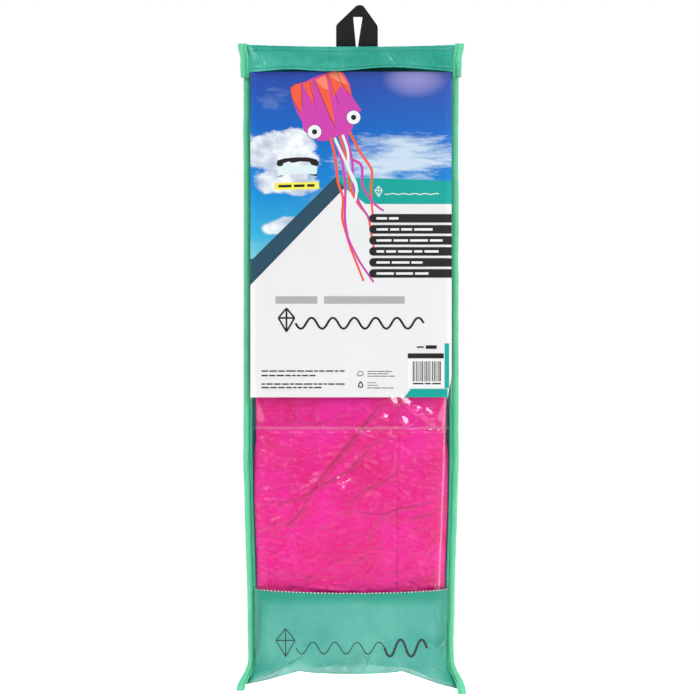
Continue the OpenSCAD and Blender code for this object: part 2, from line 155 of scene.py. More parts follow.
def front_y(x, z, offset=0.0):
    """y of the layer that lies offset inside the sleeve's outermost front surface."""
    drop = FOLD_Z - z
    c = crown((x - CX) / (RISE_W - offset), squareness(drop))
    slope = slope_height(c)
    top = STACK + (CARD_DEPTH - STACK) * np.clip(drop / slope, 0, 1)
    middle = CARD_DEPTH + (KITE_DEPTH - CARD_DEPTH) * ease((drop - POCKET_DROP - SWELL_GAP) / SWELL_H)
    s = np.clip((drop - PANEL_DROP) / (bottom_drop(x) - PANEL_DROP), 0, 1)
    end = STACK + (KITE_DEPTH - STACK) * np.sqrt(1 - s * s)
    depth = np.where(drop < slope, top, np.where(drop < PANEL_DROP, middle, end))
    stack = STACK - (STACK - 2 * CLOTH - 0.1 * MM) * s**4
    return -(stack - offset) - np.maximum(0, depth - STACK) * c


def waist(x, z):
    """The full sleeve pulls its side seams in a little above the bottom corners."""
    drop = FOLD_Z - z
    pull = 4.5 * MM * ease((drop - 400 * MM) / (190 * MM)) * (1 - ease((drop - 612 * MM) / (45 * MM)))
    return CX + (x - CX) * (1 - pull / HALF_W)


def lattice(ix, iy, seed):
    """A repeatable random number from -1 to 1 for each whole-number place."""
    h = (ix * 374761393 + iy * 668265263 + seed * 974634777) & 0xFFFFFFFF
    h = ((h ^ (h >> 13)) * 1274126177) & 0xFFFFFFFF
    return ((h ^ (h >> 16)) & 0xFFFF) / 32767.5 - 1


def noise(x, z, size, seed=0, stretch=1.0):
    """Smooth noise from -1 to 1 whose features are size metres wide, or stretch times that along z."""
    u, v = np.asarray(x) / size, np.asarray(z) / (size * stretch)
    iu, iv = np.floor(u).astype(np.int64), np.floor(v).astype(np.int64)
    fu, fv = ease(u - iu), ease(v - iv)
    a = lattice(iu, iv, seed) * (1 - fu) + lattice(iu + 1, iv, seed) * fu
    b = lattice(iu, iv + 1, seed) * (1 - fu) + lattice(iu + 1, iv + 1, seed) * fu
    return a * (1 - fv) + b * fv


def crease(x, z, start, end, width, height, lean):
    """A sharp ridge that fades at both ends; lean makes one flank longer than the other."""
    (ax, az), (bx, bz) = start, end
    dx, dz = bx - ax, bz - az
    t = np.clip(((x - ax) * dx + (z - az) * dz) / (dx * dx + dz * dz), 0, 1)
    off = np.hypot(x - ax - t * dx, z - az - t * dz)
    flank = width * (1 + lean * np.sign((x - ax) * dz - (z - az) * dx))
    fade = np.sin(np.pi * np.clip(t, 0.02, 0.98)) ** 0.6
    return height * fade * np.exp(-np.abs(off / flank) ** 1.3)


def fold(x, z, path, height, gentle, steep):
    """A ridge along a path of points. Its flank to the right of the path's direction is the steep one."""
    path = np.array(path, float) * MM
    best = np.full(np.shape(x), 1e9)
    signed, along = np.zeros(np.shape(x)), np.zeros(np.shape(x))
    lengths = arc(path)
    for i in range(len(path) - 1):
        a, d = path[i], path[i + 1] - path[i]
        t = np.clip(((x - a[0]) * d[0] + (z - a[1]) * d[1]) / (d @ d), 0, 1)
        dx, dz = x - a[0] - t * d[0], z - a[1] - t * d[1]
        off = np.hypot(dx, dz)
        near = off < best
        best = np.where(near, off, best)
        signed = np.where(near, off * np.sign(dx * d[1] - dz * d[0]), signed)
        along = np.where(near, (lengths[i] + t * np.hypot(*d)) / lengths[-1], along)
    flank = np.where(signed > 0, steep, gentle) * MM
    fade = np.sin(np.pi * np.clip(along, 0.03, 0.97)) ** 0.55
    return height * MM * fade * np.exp(-((best / flank) ** 1.15))


def facet(x, z, cx, cz, rx, rz, turn):
    """A small flat dent, tipped up and to the right so that it mirrors the small lamp."""
    c, s = math.cos(math.radians(turn)), math.sin(math.radians(turn))
    dx, dz = x - cx * MM, z - cz * MM
    p, q = (c * dx + s * dz) / (rx * 1.5 * MM), (-s * dx + c * dz) / (rz * 1.5 * MM)
    window = np.exp(-((p * p + q * q) ** 4))
    return (0.9 * MM - 0.17 * dx - 0.24 * dz) * window


# ---- Mesh helpers --------------------------------------------------------------------


def put_in_scene(name, data, material=None):
    obj = bpy.data.objects.new(name, data)
    bpy.context.scene.collection.objects.link(obj)
    if material:
        data.materials.append(material)
    return obj


def new_object(name, vertices, faces, material, smooth=True):
    mesh = bpy.data.meshes.new(name)
    mesh.from_pydata([tuple(v) for v in vertices], [], [tuple(f) for f in faces])
    mesh.validate()
    if smooth:
        mesh.shade_smooth()
    return put_in_scene(name, mesh, material)


def grid_faces(rows, cols, closed=False):
    wrap = cols if closed else cols - 1
    return [
        (r * cols + c, (r + 1) * cols + c, (r + 1) * cols + (c + 1) % cols, r * cols + (c + 1) % cols)
        for r in range(rows - 1)
        for c in range(wrap)
    ]


def arc(points):
    """Running length along a path of points, 0 at the first."""
    steps = np.linalg.norm(np.diff(points, axis=0), axis=-1)
    return np.concatenate([[0], np.cumsum(steps)])


def grid(name, P, material, thickness=0.0, inward=1, closed=False):
    """A mesh from rows by columns of points, with its flat cloth coordinates in metres as a UV map.
    They run along the middle row and the middle column."""
    rows, cols = P.shape[:2]
    obj = new_object(name, P.reshape(-1, 3), grid_faces(rows, cols, closed), material)
    u = arc(P[rows // 2])
    v = arc(P[:, cols // 2])
    width = u[-1] + (np.linalg.norm(P[rows // 2, 0] - P[rows // 2, -1]) if closed else 0)
    layer = obj.data.uv_layers.new(name="cloth")
    U, V = np.meshgrid(u, v)
    flat = np.stack([U.ravel(), V.ravel()], 1)
    loops = np.zeros(len(obj.data.loops), np.int32)
    obj.data.loops.foreach_get("vertex_index", loops)
    uv = flat[loops]
    if closed:  # the last column of faces runs on past the last point
        starts = np.zeros(len(obj.data.polygons), np.int32)
        obj.data.polygons.foreach_get("loop_start", starts)
        for s in starts:
            if uv[s : s + 4, 0].max() - uv[s : s + 4, 0].min() > width / 2:
                uv[s : s + 4, 0] = np.where(uv[s : s + 4, 0] < width / 2, width, uv[s : s + 4, 0])
    layer.data.foreach_set("uv", uv.ravel().astype(np.float32))
    obj["flat"] = [float(width), float(v[-1])]
    if thickness:
        solid = obj.modifiers.new("thickness", "SOLIDIFY")
        solid.thickness = thickness
        solid.offset = -inward
        solid.use_even_offset = False
    return obj


def declare_sheet(obj):
    """Reads the size a sheet was cut to, which its flat coordinates give, and does nothing more with it."""
    width, length = obj["flat"]


def finish_piece(obj, body, slot, *nodes):
    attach(obj, body)
    if nodes:
        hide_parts(*nodes)
    return obj


def tube(points, radius, closed=False, flat=1.0):
    """Vertices and faces of a tube along points; flat squeezes it towards the surface."""
    points = np.asarray(points, float)
    n, sides = len(points), 6
    if closed:
        tangent = np.roll(points, -1, 0) - np.roll(points, 1, 0)
    else:
        tangent = np.gradient(points, axis=0)
    tangent /= np.linalg.norm(tangent, axis=1)[:, None] + 1e-12
    up = np.array([0.0, -1.0, 0.0])
    side = np.cross(tangent, up)
    weak = np.linalg.norm(side, axis=1) < 1e-3
    side[weak] = np.cross(tangent[weak], [1.0, 0.0, 0.0])
    side /= np.linalg.norm(side, axis=1)[:, None]
    lift = np.cross(side, tangent)
    angle = np.arange(sides) / sides * 2 * np.pi
    radius = np.broadcast_to(np.asarray(radius, float), (n,))
    ring = (
        points[:, None]
        + radius[:, None, None] * np.cos(angle)[None, :, None] * side[:, None]
        + flat * radius[:, None, None] * np.sin(angle)[None, :, None] * lift[:, None]
    )
    faces = []
    rows = n if closed else n - 1
    for r in range(rows):
        for s in range(sides):
            a, b = r * sides + s, r * sides + (s + 1) % sides
            c, d = ((r + 1) % n) * sides + (s + 1) % sides, ((r + 1) % n) * sides + s
            faces.append((a, b, c, d))
    if not closed:
        faces.append(tuple(range(sides))[::-1])
        faces.append(tuple((n - 1) * sides + s for s in range(sides)))
    return ring.reshape(-1, 3), faces


def join_parts(parts):
    """One list of vertices and faces from several."""
    vertices, faces, start = [], [], 0
    for v, f in parts:
        vertices.append(v)
        faces.extend(tuple(i + start for i in face) for face in f)
        start += len(v)
    return np.concatenate(vertices), faces


def stitch_parts(path, pitch, share, radius):
    """Short thread stitches that lie along a path of points. pitch and radius are in millimetres."""
    path = np.asarray(path, float)
    pitch, radius = pitch * MM, radius * MM
    s = arc(path)
    parts = []
    for i in range(int(s[-1] / pitch)):
        a = (i + 0.5 * (1 - share)) * pitch
        where = np.linspace(a, a + share * pitch, 4)
        points = np.stack([np.interp(where, s, path[:, k]) for k in range(3)], 1)
        parts.append(tube(points, radius * np.array([0.55, 1, 1, 0.55]), flat=0.8))
    return parts


def sew(name, paths, material, shape, body, slot, *nodes):
    """One piece of stitching along several paths. shape is the pitch, the share of it and the radius."""
    parts = [part for path in paths for part in stitch_parts(path, *shape)]
    finish_piece(new_object(name, *join_parts(parts), material), body, slot, *nodes)


def cap_ends(obj, P):
    """Closes the two open ends of a closed strip."""
    rows, cols = P.shape[:2]
    bm = bmesh.new()
    bm.from_mesh(obj.data)
    bm.verts.ensure_lookup_table()
    for first, flip in ((0, False), ((rows - 1) * cols, True)):
        ring = [bm.verts[first + i] for i in range(cols)]
        bm.faces.new(ring if flip else ring[::-1])
    bm.to_mesh(obj.data)
    bm.free()
    obj.data.shade_smooth()


def edge_strip(name, rows, side, body, node):
    """A binding tape from the rings of points along it."""
    P = np.array(rows)
    if side < 0:
        P = P[:, ::-1]
    obj = grid(name, P, MINT, closed=True)
    cap_ends(obj, P)
    finish_piece(obj, body, "mint_binding", node)


def flat_print(name, outlines, material, place, cuts=None):
    """Flat shapes that face the front. Outlines are in millimetres, right and down, and place puts each
    point on the object. Where cuts are given, the shapes are cut there so that they can follow a bow."""
    bm = bmesh.new()
    for outline in outlines:
        bm.faces.new([bm.verts.new((p[0] * MM, 0, -p[1] * MM)) for p in outline])
    if cuts is not None:
        bm.normal_update()
        bmesh.ops.triangulate(bm, faces=bm.faces[:], ngon_method="EAR_CLIP")
        for cut in cuts:
            geometry = bm.verts[:] + bm.edges[:] + bm.faces[:]
            bmesh.ops.bisect_plane(bm, geom=geometry, dist=1e-6, plane_co=(cut, 0, 0), plane_no=(1, 0, 0))
    for v in bm.verts:
        v.co = place(v.co.x, v.co.z)
    bm.normal_update()
    for f in bm.faces:
        if f.normal.y > 0:
            f.normal_flip()
    mesh = bpy.data.meshes.new(name)
    bm.to_mesh(mesh)
    bm.free()
    return put_in_scene(name, mesh, material)


# ---- Materials -----------------------------------------------------------------------


def srgb(r, g, b):
    """A colour given as 0 to 255 screen values, in linear light."""
    c = np.array([r, g, b]) / 255
    return tuple(np.where(c <= 0.04045, c / 12.92, ((c + 0.055) / 1.055) ** 2.4)) + (1.0,)


class Nodes:
    """The nodes of a material, or of the world, with short calls to add and join them."""

    def __init__(self, name, world=False):
        self.owner = (bpy.data.worlds if world else bpy.data.materials).new(name)
        self.owner.use_nodes = True
        self.tree = self.owner.node_tree
        self.tree.nodes.clear()
        self.out = self.tree.nodes.new("ShaderNodeOutputWorld" if world else "ShaderNodeOutputMaterial")

    def finish(self, shader):
        self.tree.links.new(shader, self.out.inputs[0])
        return self.owner

    def add(self, kind, inputs=(), output=0, **settings):
        """Adds a node, sets or joins its inputs, and gives one of its outputs."""
        node = self.tree.nodes.new(kind)
        for key, value in settings.items():
            setattr(node, key, value)
        for key, value in dict(inputs).items():
            if isinstance(value, bpy.types.NodeSocket):
                self.tree.links.new(value, node.inputs[key])
            elif value is not None:
                node.inputs[key].default_value = value
        return node.outputs[output]

    def math(self, operation, a, b=0.0, clamp=False):
        return self.add("ShaderNodeMath", {0: a, 1: b}, operation=operation, use_clamp=clamp)

    def mix(self, factor, a, b):
        return self.add("ShaderNodeMix", {"Factor": factor, 6: a, 7: b}, 2, data_type="RGBA")

    def blend(self, factor, a, b):
        return self.add("ShaderNodeMixShader", {0: factor, 1: a, 2: b})

    def cloth(self):
        return self.add("ShaderNodeUVMap", uv_map="cloth")

    def place(self):
        return self.add("ShaderNodeTexCoord", output="Object")

    def scaled(self, vector, scale):
        return self.add("ShaderNodeMapping", {"Vector": vector, "Scale": scale})

    def noise(self, vector, scale, detail=3.0, rough=0.5):
        inputs = {"Vector": vector, "Scale": scale, "Detail": detail, "Roughness": rough}
        return self.add("ShaderNodeTexNoise", inputs)

    def wave(self, vector, axis, scale, distortion=0.0):
        inputs = {"Vector": vector, "Scale": scale, "Distortion": distortion}
        return self.add("ShaderNodeTexWave", inputs, 1, bands_direction=axis)

    def ramp(self, value, stops):
        node = self.tree.nodes.new("ShaderNodeValToRGB")
        self.tree.links.new(value, node.inputs[0])
        elements = node.color_ramp.elements
        while len(elements) < len(stops):
            elements.new(0.5)
        for element, (position, color) in zip(elements, stops):
            element.position = position
            element.color = color
        return node.outputs[0]

    def mask(self, value, start, end, most=1.0):
        """Grey that is 0 up to start and rises to most at end."""
        return self.ramp(value, [(start, grey(0.0)), (end, grey(most))])

    def split(self, vector):
        node = self.tree.nodes.new("ShaderNodeSeparateXYZ")
        self.tree.links.new(vector, node.inputs[0])
        return node.outputs

    def bump(self, height, strength, distance, normal=None):
        inputs = {"Height": height, "Strength": strength, "Distance": distance, "Normal": normal}
        return self.add("ShaderNodeBump", inputs)

    def surface(self, color, roughness, normal=None, **sockets):
        inputs = {key.replace("_", " "): value for key, value in sockets.items()}
        inputs.update({"Base Color": color, "Roughness": roughness, "Normal": normal})
        return self.finish(self.add("ShaderNodeBsdfPrincipled", inputs))


def grey(value):
    return (value, value, value, 1.0)


def band_scale(pitch):
    """A wave texture's scale for bands that repeat every pitch metres."""
    return math.pi / 10 / pitch


def nylon(name, color, light, pitch, roughness=0.5, sheen=0.25, grid=0.22, crinkle=0.4, rim=None,
          fold_shade=None):
    """Thin ripstop nylon: a fine weave, a grid of thicker yarns and slight mottling. rim is a darker colour
    along the sleeve's sides and the lower panel's top edge, and the paler colours between them stand for
    a painted sheen. The last argument is painted shade: the colour of fold flanks that face the lower right,
    away from the key lamp."""
    m = Nodes(name)
    flat = m.cloth()
    weft = m.wave(flat, "X", band_scale(0.5 * MM))
    warp = m.wave(flat, "Y", band_scale(0.5 * MM))
    weave = m.math("MAXIMUM", weft, warp)
    grid_u = m.math("POWER", m.wave(flat, "X", band_scale(pitch)), 8.0)
    grid_v = m.math("POWER", m.wave(flat, "Y", band_scale(pitch)), 8.0)
    ripstop = m.math("MAXIMUM", grid_u, grid_v)
    mottle = m.noise(m.place(), 22.0, 5.0, 0.62)
    tint = m.mix(m.mask(mottle, 0.36, 0.66), color, light)
    tint = m.mix(m.math("MULTIPLY", ripstop, grid), tint, m.mix(0.25, light, (1, 1, 1, 1)))
    # rim darkens the sides and the top edge, so that the paler middle between them is a painted sheen
    if rim is not None:
        x, _, z = m.split(m.place())
        out = m.math("MULTIPLY", m.math("ABSOLUTE", m.math("SUBTRACT", x, CX)), 1 / HALF_W)
        sides = m.mask(out, 0.76, 0.9)
        hem = 16 * MM
        up = m.math("MULTIPLY", m.math("SUBTRACT", z, FOLD_Z - PANEL_DROP - hem), 1 / hem)
        band = m.mask(up, 0.05, 0.6, 0.85)
        tint = m.mix(m.math("MAXIMUM", sides, band), tint, rim)
    # painted shade: fold flanks that fall away to the lower right, away from the key lamp, take the darker
    # colour
    if fold_shade is not None:
        folded = m.add("ShaderNodeAttribute", output="Fac", attribute_name="crease")
        tint = m.mix(folded, tint, fold_shade)
    height = m.math("ADD", m.math("MULTIPLY", weave, 0.35), ripstop)
    fine = m.bump(height, 0.3, 0.1 * MM)
    crumple = m.noise(m.place(), 130.0, 6.0, 0.6)
    normal = m.bump(crumple, crinkle, 0.8 * MM, fine)
    rough = m.math("ADD", roughness - 0.08, m.math("MULTIPLY", mottle, 0.16))
    return m.surface(tint, rough, normal, Sheen_Weight=sheen, Sheen_Roughness=0.4, Sheen_Tint=light,
                     Specular_IOR_Level=0.5)


def tape(name, color, light, rib, roughness=0.7, sheen=0.35):
    """Woven tape with ribs across its length, slightly worn and lighter on its ribs."""
    m = Nodes(name)
    flat = m.cloth()
    ribs = m.wave(flat, "Y", band_scale(rib), 0.4)
    yarns = m.wave(flat, "X", band_scale(rib * 0.7), 0.3)
    height = m.math("ADD", ribs, m.math("MULTIPLY", yarns, 0.6))
    cloud = m.noise(m.place(), 45.0, 4.0, 0.6)
    tint = m.mix(m.math("MULTIPLY", height, 0.35), color, light)
    tint = m.mix(m.mask(cloud, 0.35, 0.75, 0.45), tint, light)
    normal = m.bump(height, 0.55, 0.25 * MM)
    return m.surface(tint, roughness, normal, Sheen_Weight=sheen, Sheen_Roughness=0.5, Specular_IOR_Level=0.3)


def thread(name, color, light):
    m = Nodes(name)
    twist = m.wave(m.place(), "DIAGONAL", band_scale(0.5 * MM))
    tint = m.mix(twist, color, light)
    return m.surface(tint, 0.6, m.bump(twist, 0.5, 0.1 * MM), Sheen_Weight=0.2)


def film(name, haze):
    """Clear soft vinyl: nearly invisible straight on, glossy, and milky where it is scuffed."""
    m = Nodes(name)
    place = m.place()
    see = m.add("ShaderNodeBsdfTransparent", {0: (0.985, 0.993, 0.995, 1)})
    milk = m.add("ShaderNodeBsdfPrincipled", {"Base Color": (0.93, 0.95, 0.96, 1), "Roughness": 0.35})
    scuffs = m.mask(m.noise(m.scaled(place, (1, 1, 0.2)), 420.0, 3.0, 0.7), 0.6, 0.85, haze)
    edge = m.add("ShaderNodeLayerWeight", {"Blend": 0.08}, "Facing")
    body = m.blend(m.math("ADD", scuffs, m.math("MULTIPLY", edge, 0.06), True), see, milk)
    ripples = m.noise(m.scaled(place, (1.0, 1.0, 0.55)), 60.0, 2.0, 0.45)
    normal = m.bump(ripples, 0.15, 1.0 * MM)
    # the mirrored share is small straight on and grows as the film slants away
    slant = m.add("ShaderNodeLayerWeight", {"Blend": 0.5, "Normal": normal}, "Facing")
    mirror = m.math("ADD", m.math("MULTIPLY", m.math("POWER", slant, 5.0), 0.6), 0.042)
    gloss = m.add("ShaderNodeBsdfGlossy", {"Roughness": 0.05, "Normal": normal})
    return m.finish(m.blend(mirror, body, gloss))


def ink(name, color, roughness=0.38):
    """Flat printed colour with the faint unevenness of offset ink on coated board."""
    m = Nodes(name)
    speckle = m.noise(m.place(), 900.0, 2.0, 0.5)
    cloud = m.noise(m.place(), 20.0, 3.0, 0.5)
    dark = tuple(0.9 * c for c in color[:3]) + (1,)
    tint = m.mix(m.math("MULTIPLY", speckle, 0.5), color, dark)
    tint = m.mix(m.math("MULTIPLY", cloud, 0.2), tint, dark)
    return m.surface(tint, roughness, Specular_IOR_Level=0.4)


def plastic(name, color, roughness):
    m = Nodes(name)
    grain = m.noise(m.place(), 1400.0, 2.0, 0.6)
    cloud = m.noise(m.place(), 30.0, 3.0, 0.5)
    rough = m.math("ADD", roughness, m.math("MULTIPLY", cloud, 0.1))
    return m.surface(color, rough, m.bump(grain, 0.25, 0.06 * MM))


TEAL = nylon("teal_nylon", srgb(4, 156, 134), srgb(62, 182, 160), 1.9 * MM, 0.38, 0.1, 0.12)
# The lower panel's last colour is painted shade on its fold flanks that face the lower right.
TEAL_PANEL = nylon("teal_panel_nylon", srgb(44, 150, 134), srgb(76, 166, 150), 1.9 * MM, 0.42, 0.08, 0.16,
                   # rim is the cloth's darker colour at the sides and top; the paler colours before it are a
                   # painted sheen
                   rim=srgb(0, 140, 116), fold_shade=srgb(10, 104, 92))
TEAL_BACK = nylon("teal_nylon_back", srgb(4, 152, 130), srgb(36, 166, 144), 1.9 * MM, 0.5, 0.1, 0.12)
MINT = tape("mint_binding", srgb(90, 200, 154), srgb(120, 222, 178), 0.7 * MM, 0.7, 0.12)
# The pink nylon's last colour is painted shade on the kite's fold flanks that face the lower right.
PINK = nylon("pink_ripstop", srgb(224, 0, 120), srgb(240, 10, 156), 1.8 * MM, 0.36, 0.05, 0.1, 0.8,
             fold_shade=srgb(176, 0, 88))
ORANGE = nylon("orange_ripstop", srgb(236, 70, 44), srgb(246, 100, 68), 1.8 * MM, 0.4, 0.1, 0.12)
WHITE = nylon("white_ripstop", srgb(222, 224, 227), srgb(236, 237, 239), 1.8 * MM, 0.4, 0.1, 0.2)
BLACK_CLOTH = nylon("black_ripstop", srgb(18, 16, 20), srgb(30, 28, 34), 1.8 * MM, 0.45, 0.1, 0.1)
WEBBING = tape("black_webbing", srgb(4, 4, 5), srgb(12, 12, 13), 1.3 * MM, 0.66, 0.01)
CLOSURE = tape("closure_tape", srgb(20, 20, 22), srgb(46, 46, 50), 0.9 * MM, 0.9, 0.3)
CLEAR = film("clear_film", 0.01)
POCKET = film("clear_pocket_film", 0.02)
GREY_THREAD = thread("grey_thread", srgb(118, 118, 122), srgb(170, 170, 172))
TEAL_THREAD = thread("teal_thread", srgb(4, 70, 58), srgb(14, 100, 82))
MINT_THREAD = thread("mint_thread", srgb(24, 104, 72), srgb(48, 140, 100))
BLACK_THREAD = thread("black_thread", srgb(24, 24, 26), srgb(60, 60, 62))
RED_THREAD = thread("red_thread", srgb(140, 0, 40), srgb(170, 4, 60))
PALE_THREAD = thread("pale_thread", srgb(190, 200, 200), srgb(240, 244, 244))
LINE = thread("flying_line", srgb(214, 210, 196), srgb(240, 238, 228))


# ---- Camera, lights and floor --------------------------------------------------------


def softbox(name, place, target, width, height, power):
    light = bpy.data.lights.new(name, "AREA")
    light.shape = "RECTANGLE"
    light.size, light.size_y, light.energy = width, height, power
    lamp = put_in_scene(name, light)
    lamp.location = place
    lamp.rotation_euler = (Vector(target) - Vector(place)).to_track_quat("-Z", "Y").to_euler()


def camera_and_lights():
    centre = np.array([CX - 1 * MM, -15 * MM, -334.7 * MM])
    lens_mm, frame_m, sensor_mm = 150, 0.7, 36
    camera = bpy.data.cameras.new("camera")
    camera.lens = lens_mm
    camera.sensor_width = sensor_mm
    camera.clip_end = 50
    obj = put_in_scene("camera", camera)
    obj.location = centre + np.array([0, -frame_m * lens_mm / sensor_mm, 0])
    obj.rotation_euler = (math.pi / 2, 0, 0)

    middle = (CX, 0, -0.33)
    softbox("key", (-1.5, -1.2, 1.2), middle, 0.45, 0.45, 30)
    softbox("fill_right", (2.0, -0.7, -0.2), middle, 0.6, 1.4, 13)
    softbox("back", (0.5, 2.2, 1.2), middle, 1.4, 1.2, 34)
    softbox("glint", (0.75, -1.9, 0.52), (0.06, 0, -0.4), 0.55, 0.55, 16)

    # the room is dim behind the photographer, so that the clear film mirrors little
    world = Nodes("studio", world=True)
    seen = world.add("ShaderNodeBackground", {0: grey(1.0), 1: 1.0})
    along = world.split(world.add("ShaderNodeTexCoord", output="Generated"))[1]
    dim = world.ramp(world.math("MULTIPLY", along, -1.0), [(0.35, grey(1.0)), (0.85, grey(0.06))])
    lit = world.add("ShaderNodeBackground", {0: dim, 1: 0.33})
    direct = world.add("ShaderNodeLightPath", output="Is Camera Ray")
    scene = bpy.context.scene
    scene.camera = obj
    scene.world = world.finish(world.blend(direct, lit, seen))

    m = Nodes("floor")
    tint = m.mix(m.noise(m.place(), 3.0, 2.0), grey(0.86), grey(0.9))
    pale = m.surface(tint, 0.9, Emission_Color=grey(1.0), Emission_Strength=0.75)
    reach = 1.6
    below = cad_bounds[0][2] - 0.1
    corners = [(-reach, -reach, below), (reach, -reach, below), (reach, reach, below), (-reach, reach, below)]
    new_object("floor", corners, [(0, 1, 2, 3)], pale, smooth=False)

    scene.view_settings.view_transform = "Standard"
    scene.view_settings.look = "None"
    scene.cycles.transparent_max_bounces = 24


# ---- Sleeve --------------------------------------------------------------------------


def spread_columns(half, count):
    """x places across a bulging sheet, closer together where its sides turn back."""
    u = np.linspace(-1, 1, count)
    t = np.sign(u) * (1 - (1 - np.abs(u)) ** 1.7)
    return CX + half * t


def sleeve_sheet(name, material, drops, offset, height, columns, thickness=0.0):
    """A sheet of the sleeve's front between its side seams. height pushes it out of the sleeve."""
    edge = np.array([HALF_W - 1.2 * MM, HALF_W - 4 * MM, RISE_W + 0.4 * MM])
    xs = np.concatenate([CX - edge, spread_columns(RISE_W - offset, columns), CX + edge[::-1]])
    X, D = np.meshgrid(xs, drops)
    wide = X
    if drops[-1] > PANEL_DROP + 1 * MM:  # rows past the panel's top follow its bottom edge
        share = (D - PANEL_DROP) / (BOTTOM_DROP - PANEL_DROP)
        D = np.where(share > 0, PANEL_DROP + share * (bottom_drop(X) - PANEL_DROP), D)
        widen = (side_x(D) - EDGE_IN) / (HALF_W - EDGE_IN)
        outside = np.clip((np.abs(X - CX) - 0.8 * HALF_W) / (0.2 * HALF_W), 0, 1)
        wide = CX + (X - CX) * (1 + (widen - 1) * outside)
        sag = PANEL_SAG * (1 - ((X - CX) / HALF_W) ** 2)
        D = D + sag * np.clip(1 - (D - drops[0]) / (20 * MM), 0, 1) * (offset == 0)
    Z = FOLD_Z - D
    Y = front_y(X, Z, offset)
    if height is not None:
        fade = ease((1 - np.abs(X - CX) / RISE_W) / 0.04)
        Y = Y - height(X, Z) * fade
    shut = np.clip((bottom_drop(X) - D) / (12 * MM), 0, 1)
    Y = Y * (1 - (1 - shut) ** 2)  # round the bottom fold, back to the back panel
    P = np.stack([waist(wide, Z), Y, Z], -1)
    return grid(name, P, material, thickness)


def panel_folds(x, z):
    """Folds of the lower panel, where the flat corners take up the slack of the full bag."""
    u, v = x - CX, z - FOLD_Z + BOTTOM_DROP  # v is the height above the bottom fold
    h = 0.6 * MM * noise(x, z, 38 * MM, 3) + 0.3 * MM * noise(x, z, 13 * MM, 4)
    h += 0.35 * MM * (1 - np.abs(noise(x + z, z - 0.4 * x, 24 * MM, 5, 0.5))) ** 4 * ease(1.4 - v / (50 * MM))
    h = h * ease(v / (12 * MM) + 0.3)
    for path, height, gentle, steep in (
        (((-108, -12), (-66, 9)), 6.0, 12, 3.0), (((-66, 9), (-55, 1)), 4.0, 4, 6),
        (((-52, 3), (-25, 9), (-5, 11), (13, 17)), 4.0, 3, 9), (((-24, 8), (-14, 1)), 2.0, 2, 3),
        (((62, 6), (30, 9), (16, 12)), 3.2, 7, 2.5), (((46, 3), (62, 6), (108, -14)), 4.6, 3.5, 10),
        (((3, 26), (14, 18), (15, 11)), 2.6, 3.0, 1.3), (((-93, 72), (-95, 30), (-104, -6)), 2.2, 3, 5),
        (((80, 34), (90, 28), (99, 36)), 2.4, 3.5, 1.8), (((72, 2), (84, -6)), 1.8, 2, 3),
        (((88, 60), (98, 12)), 1.8, 5, 2.4),
        (((-6, 8), (-2, 1)), 1.6, 2, 2), (((30, 8), (38, 2)), 1.6, 2, 3), (((-84, -4), (-78, 6)), 2.0, 3, 2),
        (((-86, 0), (-96, -10)), 1.6, 3, 2), (((66, 16), (96, 2)), 1.2, 5, 2),
    ):
        h += fold(u, v, path, height * 1.8, gentle, steep)
    return np.maximum(h, -0.3 * MM) + 0.3 * MM


def lower_panel():
    drops = np.concatenate([
        np.linspace(PANEL_DROP - 2.5 * MM, PANEL_DROP + 10 * MM, 12),
        np.linspace(PANEL_DROP + 11 * MM, BOTTOM_DROP - 12 * MM, 56),
        np.linspace(BOTTOM_DROP - 11 * MM, BOTTOM_DROP - 0.05 * MM, 26),
    ])
    panel = sleeve_sheet("lower_panel", TEAL_PANEL, drops, 0.0, panel_folds, 190, CLOTH)
    # how much painted shade each fold flank of the panel takes
    mark_fold_shade(panel, panel_folds, 0.05, 0.7, 0.6)
    finish_piece(panel, "sleeve", "teal_nylon", "front_panel")
    declare_sheet(panel)


def mark_fold_shade(obj, folds, start, reach, most):
    """Stores at each point how steeply its fold falls away to the lower right, away from the key lamp: the
    share of a nylon's painted fold shade.
    """
    points = np.array([v.co for v in obj.data.vertices])
    x, z, step = points[:, 0], points[:, 2], 0.7 * MM
    slope = (folds(x - step, z + step) - folds(x + step, z - step)) / (2.8 * step)
    layer = obj.data.attributes.new("crease", "FLOAT", "POINT")
    layer.data.foreach_set("value", np.clip((slope - start) / reach, 0, most).astype(np.float32))


def film_folds(x, z):
    """Slack in the window film: soft ridges by the sides and small sharp dents about the pocket seam."""
    u, v = x - CX, FOLD_Z - z
    low = ease((v - CARD_DROP + 12 * MM) / (30 * MM))
    side = ease((np.abs(u) - 88 * MM) / (6 * MM)) * low
    h = 0.12 * MM * (1 + noise(x, z, 60 * MM, 11, 2.0)) + side * 0.2 * MM * (1 + noise(x, z, 6 * MM, 12, 7.0))
    seam = np.exp(-(((v - POCKET_DROP) / (1.6 * MM)) ** 2))
    h = h * (1 - 0.9 * seam) + 0.15 * MM * (1 - seam)
    near = np.exp(-(((v - POCKET_DROP) / (3.5 * MM)) ** 2)) - seam
    h += np.maximum(near, 0) * 0.5 * MM * (1 + noise(x, z, 4 * MM, 13, 1.6))
    for cx, cz, rx, rz, turn in (
        (43, -355, 4.4, 2.4, -40), (54, -355, 5.4, 2.2, -35), (61, -362, 3.2, 1.5, -15),
        (68, -365, 4.6, 3.2, -30),
        (76, -371, 7.0, 2.8, -45), (34, -371, 3.0, 1.6, -35), (54, -375, 4.4, 2.4, -50),
        (59, -381, 2.4, 1.4, -50),
        (17, -387, 3.0, 1.8, -40), (-7, -433, 4.6, 3.6, 30), (-8, -440, 2.4, 2.0, 60),
        (78, -368, 5.0, 3.4, -50),
        (9, -385, 2.2, 1.4, -20), (40, -388, 2.4, 1.4, -40),
    ):
        h += facet(u, -v, cx, cz, rx, rz, turn)
    return np.maximum(h, 0) * ease((PANEL_DROP - 1 * MM - v) / (60 * MM))


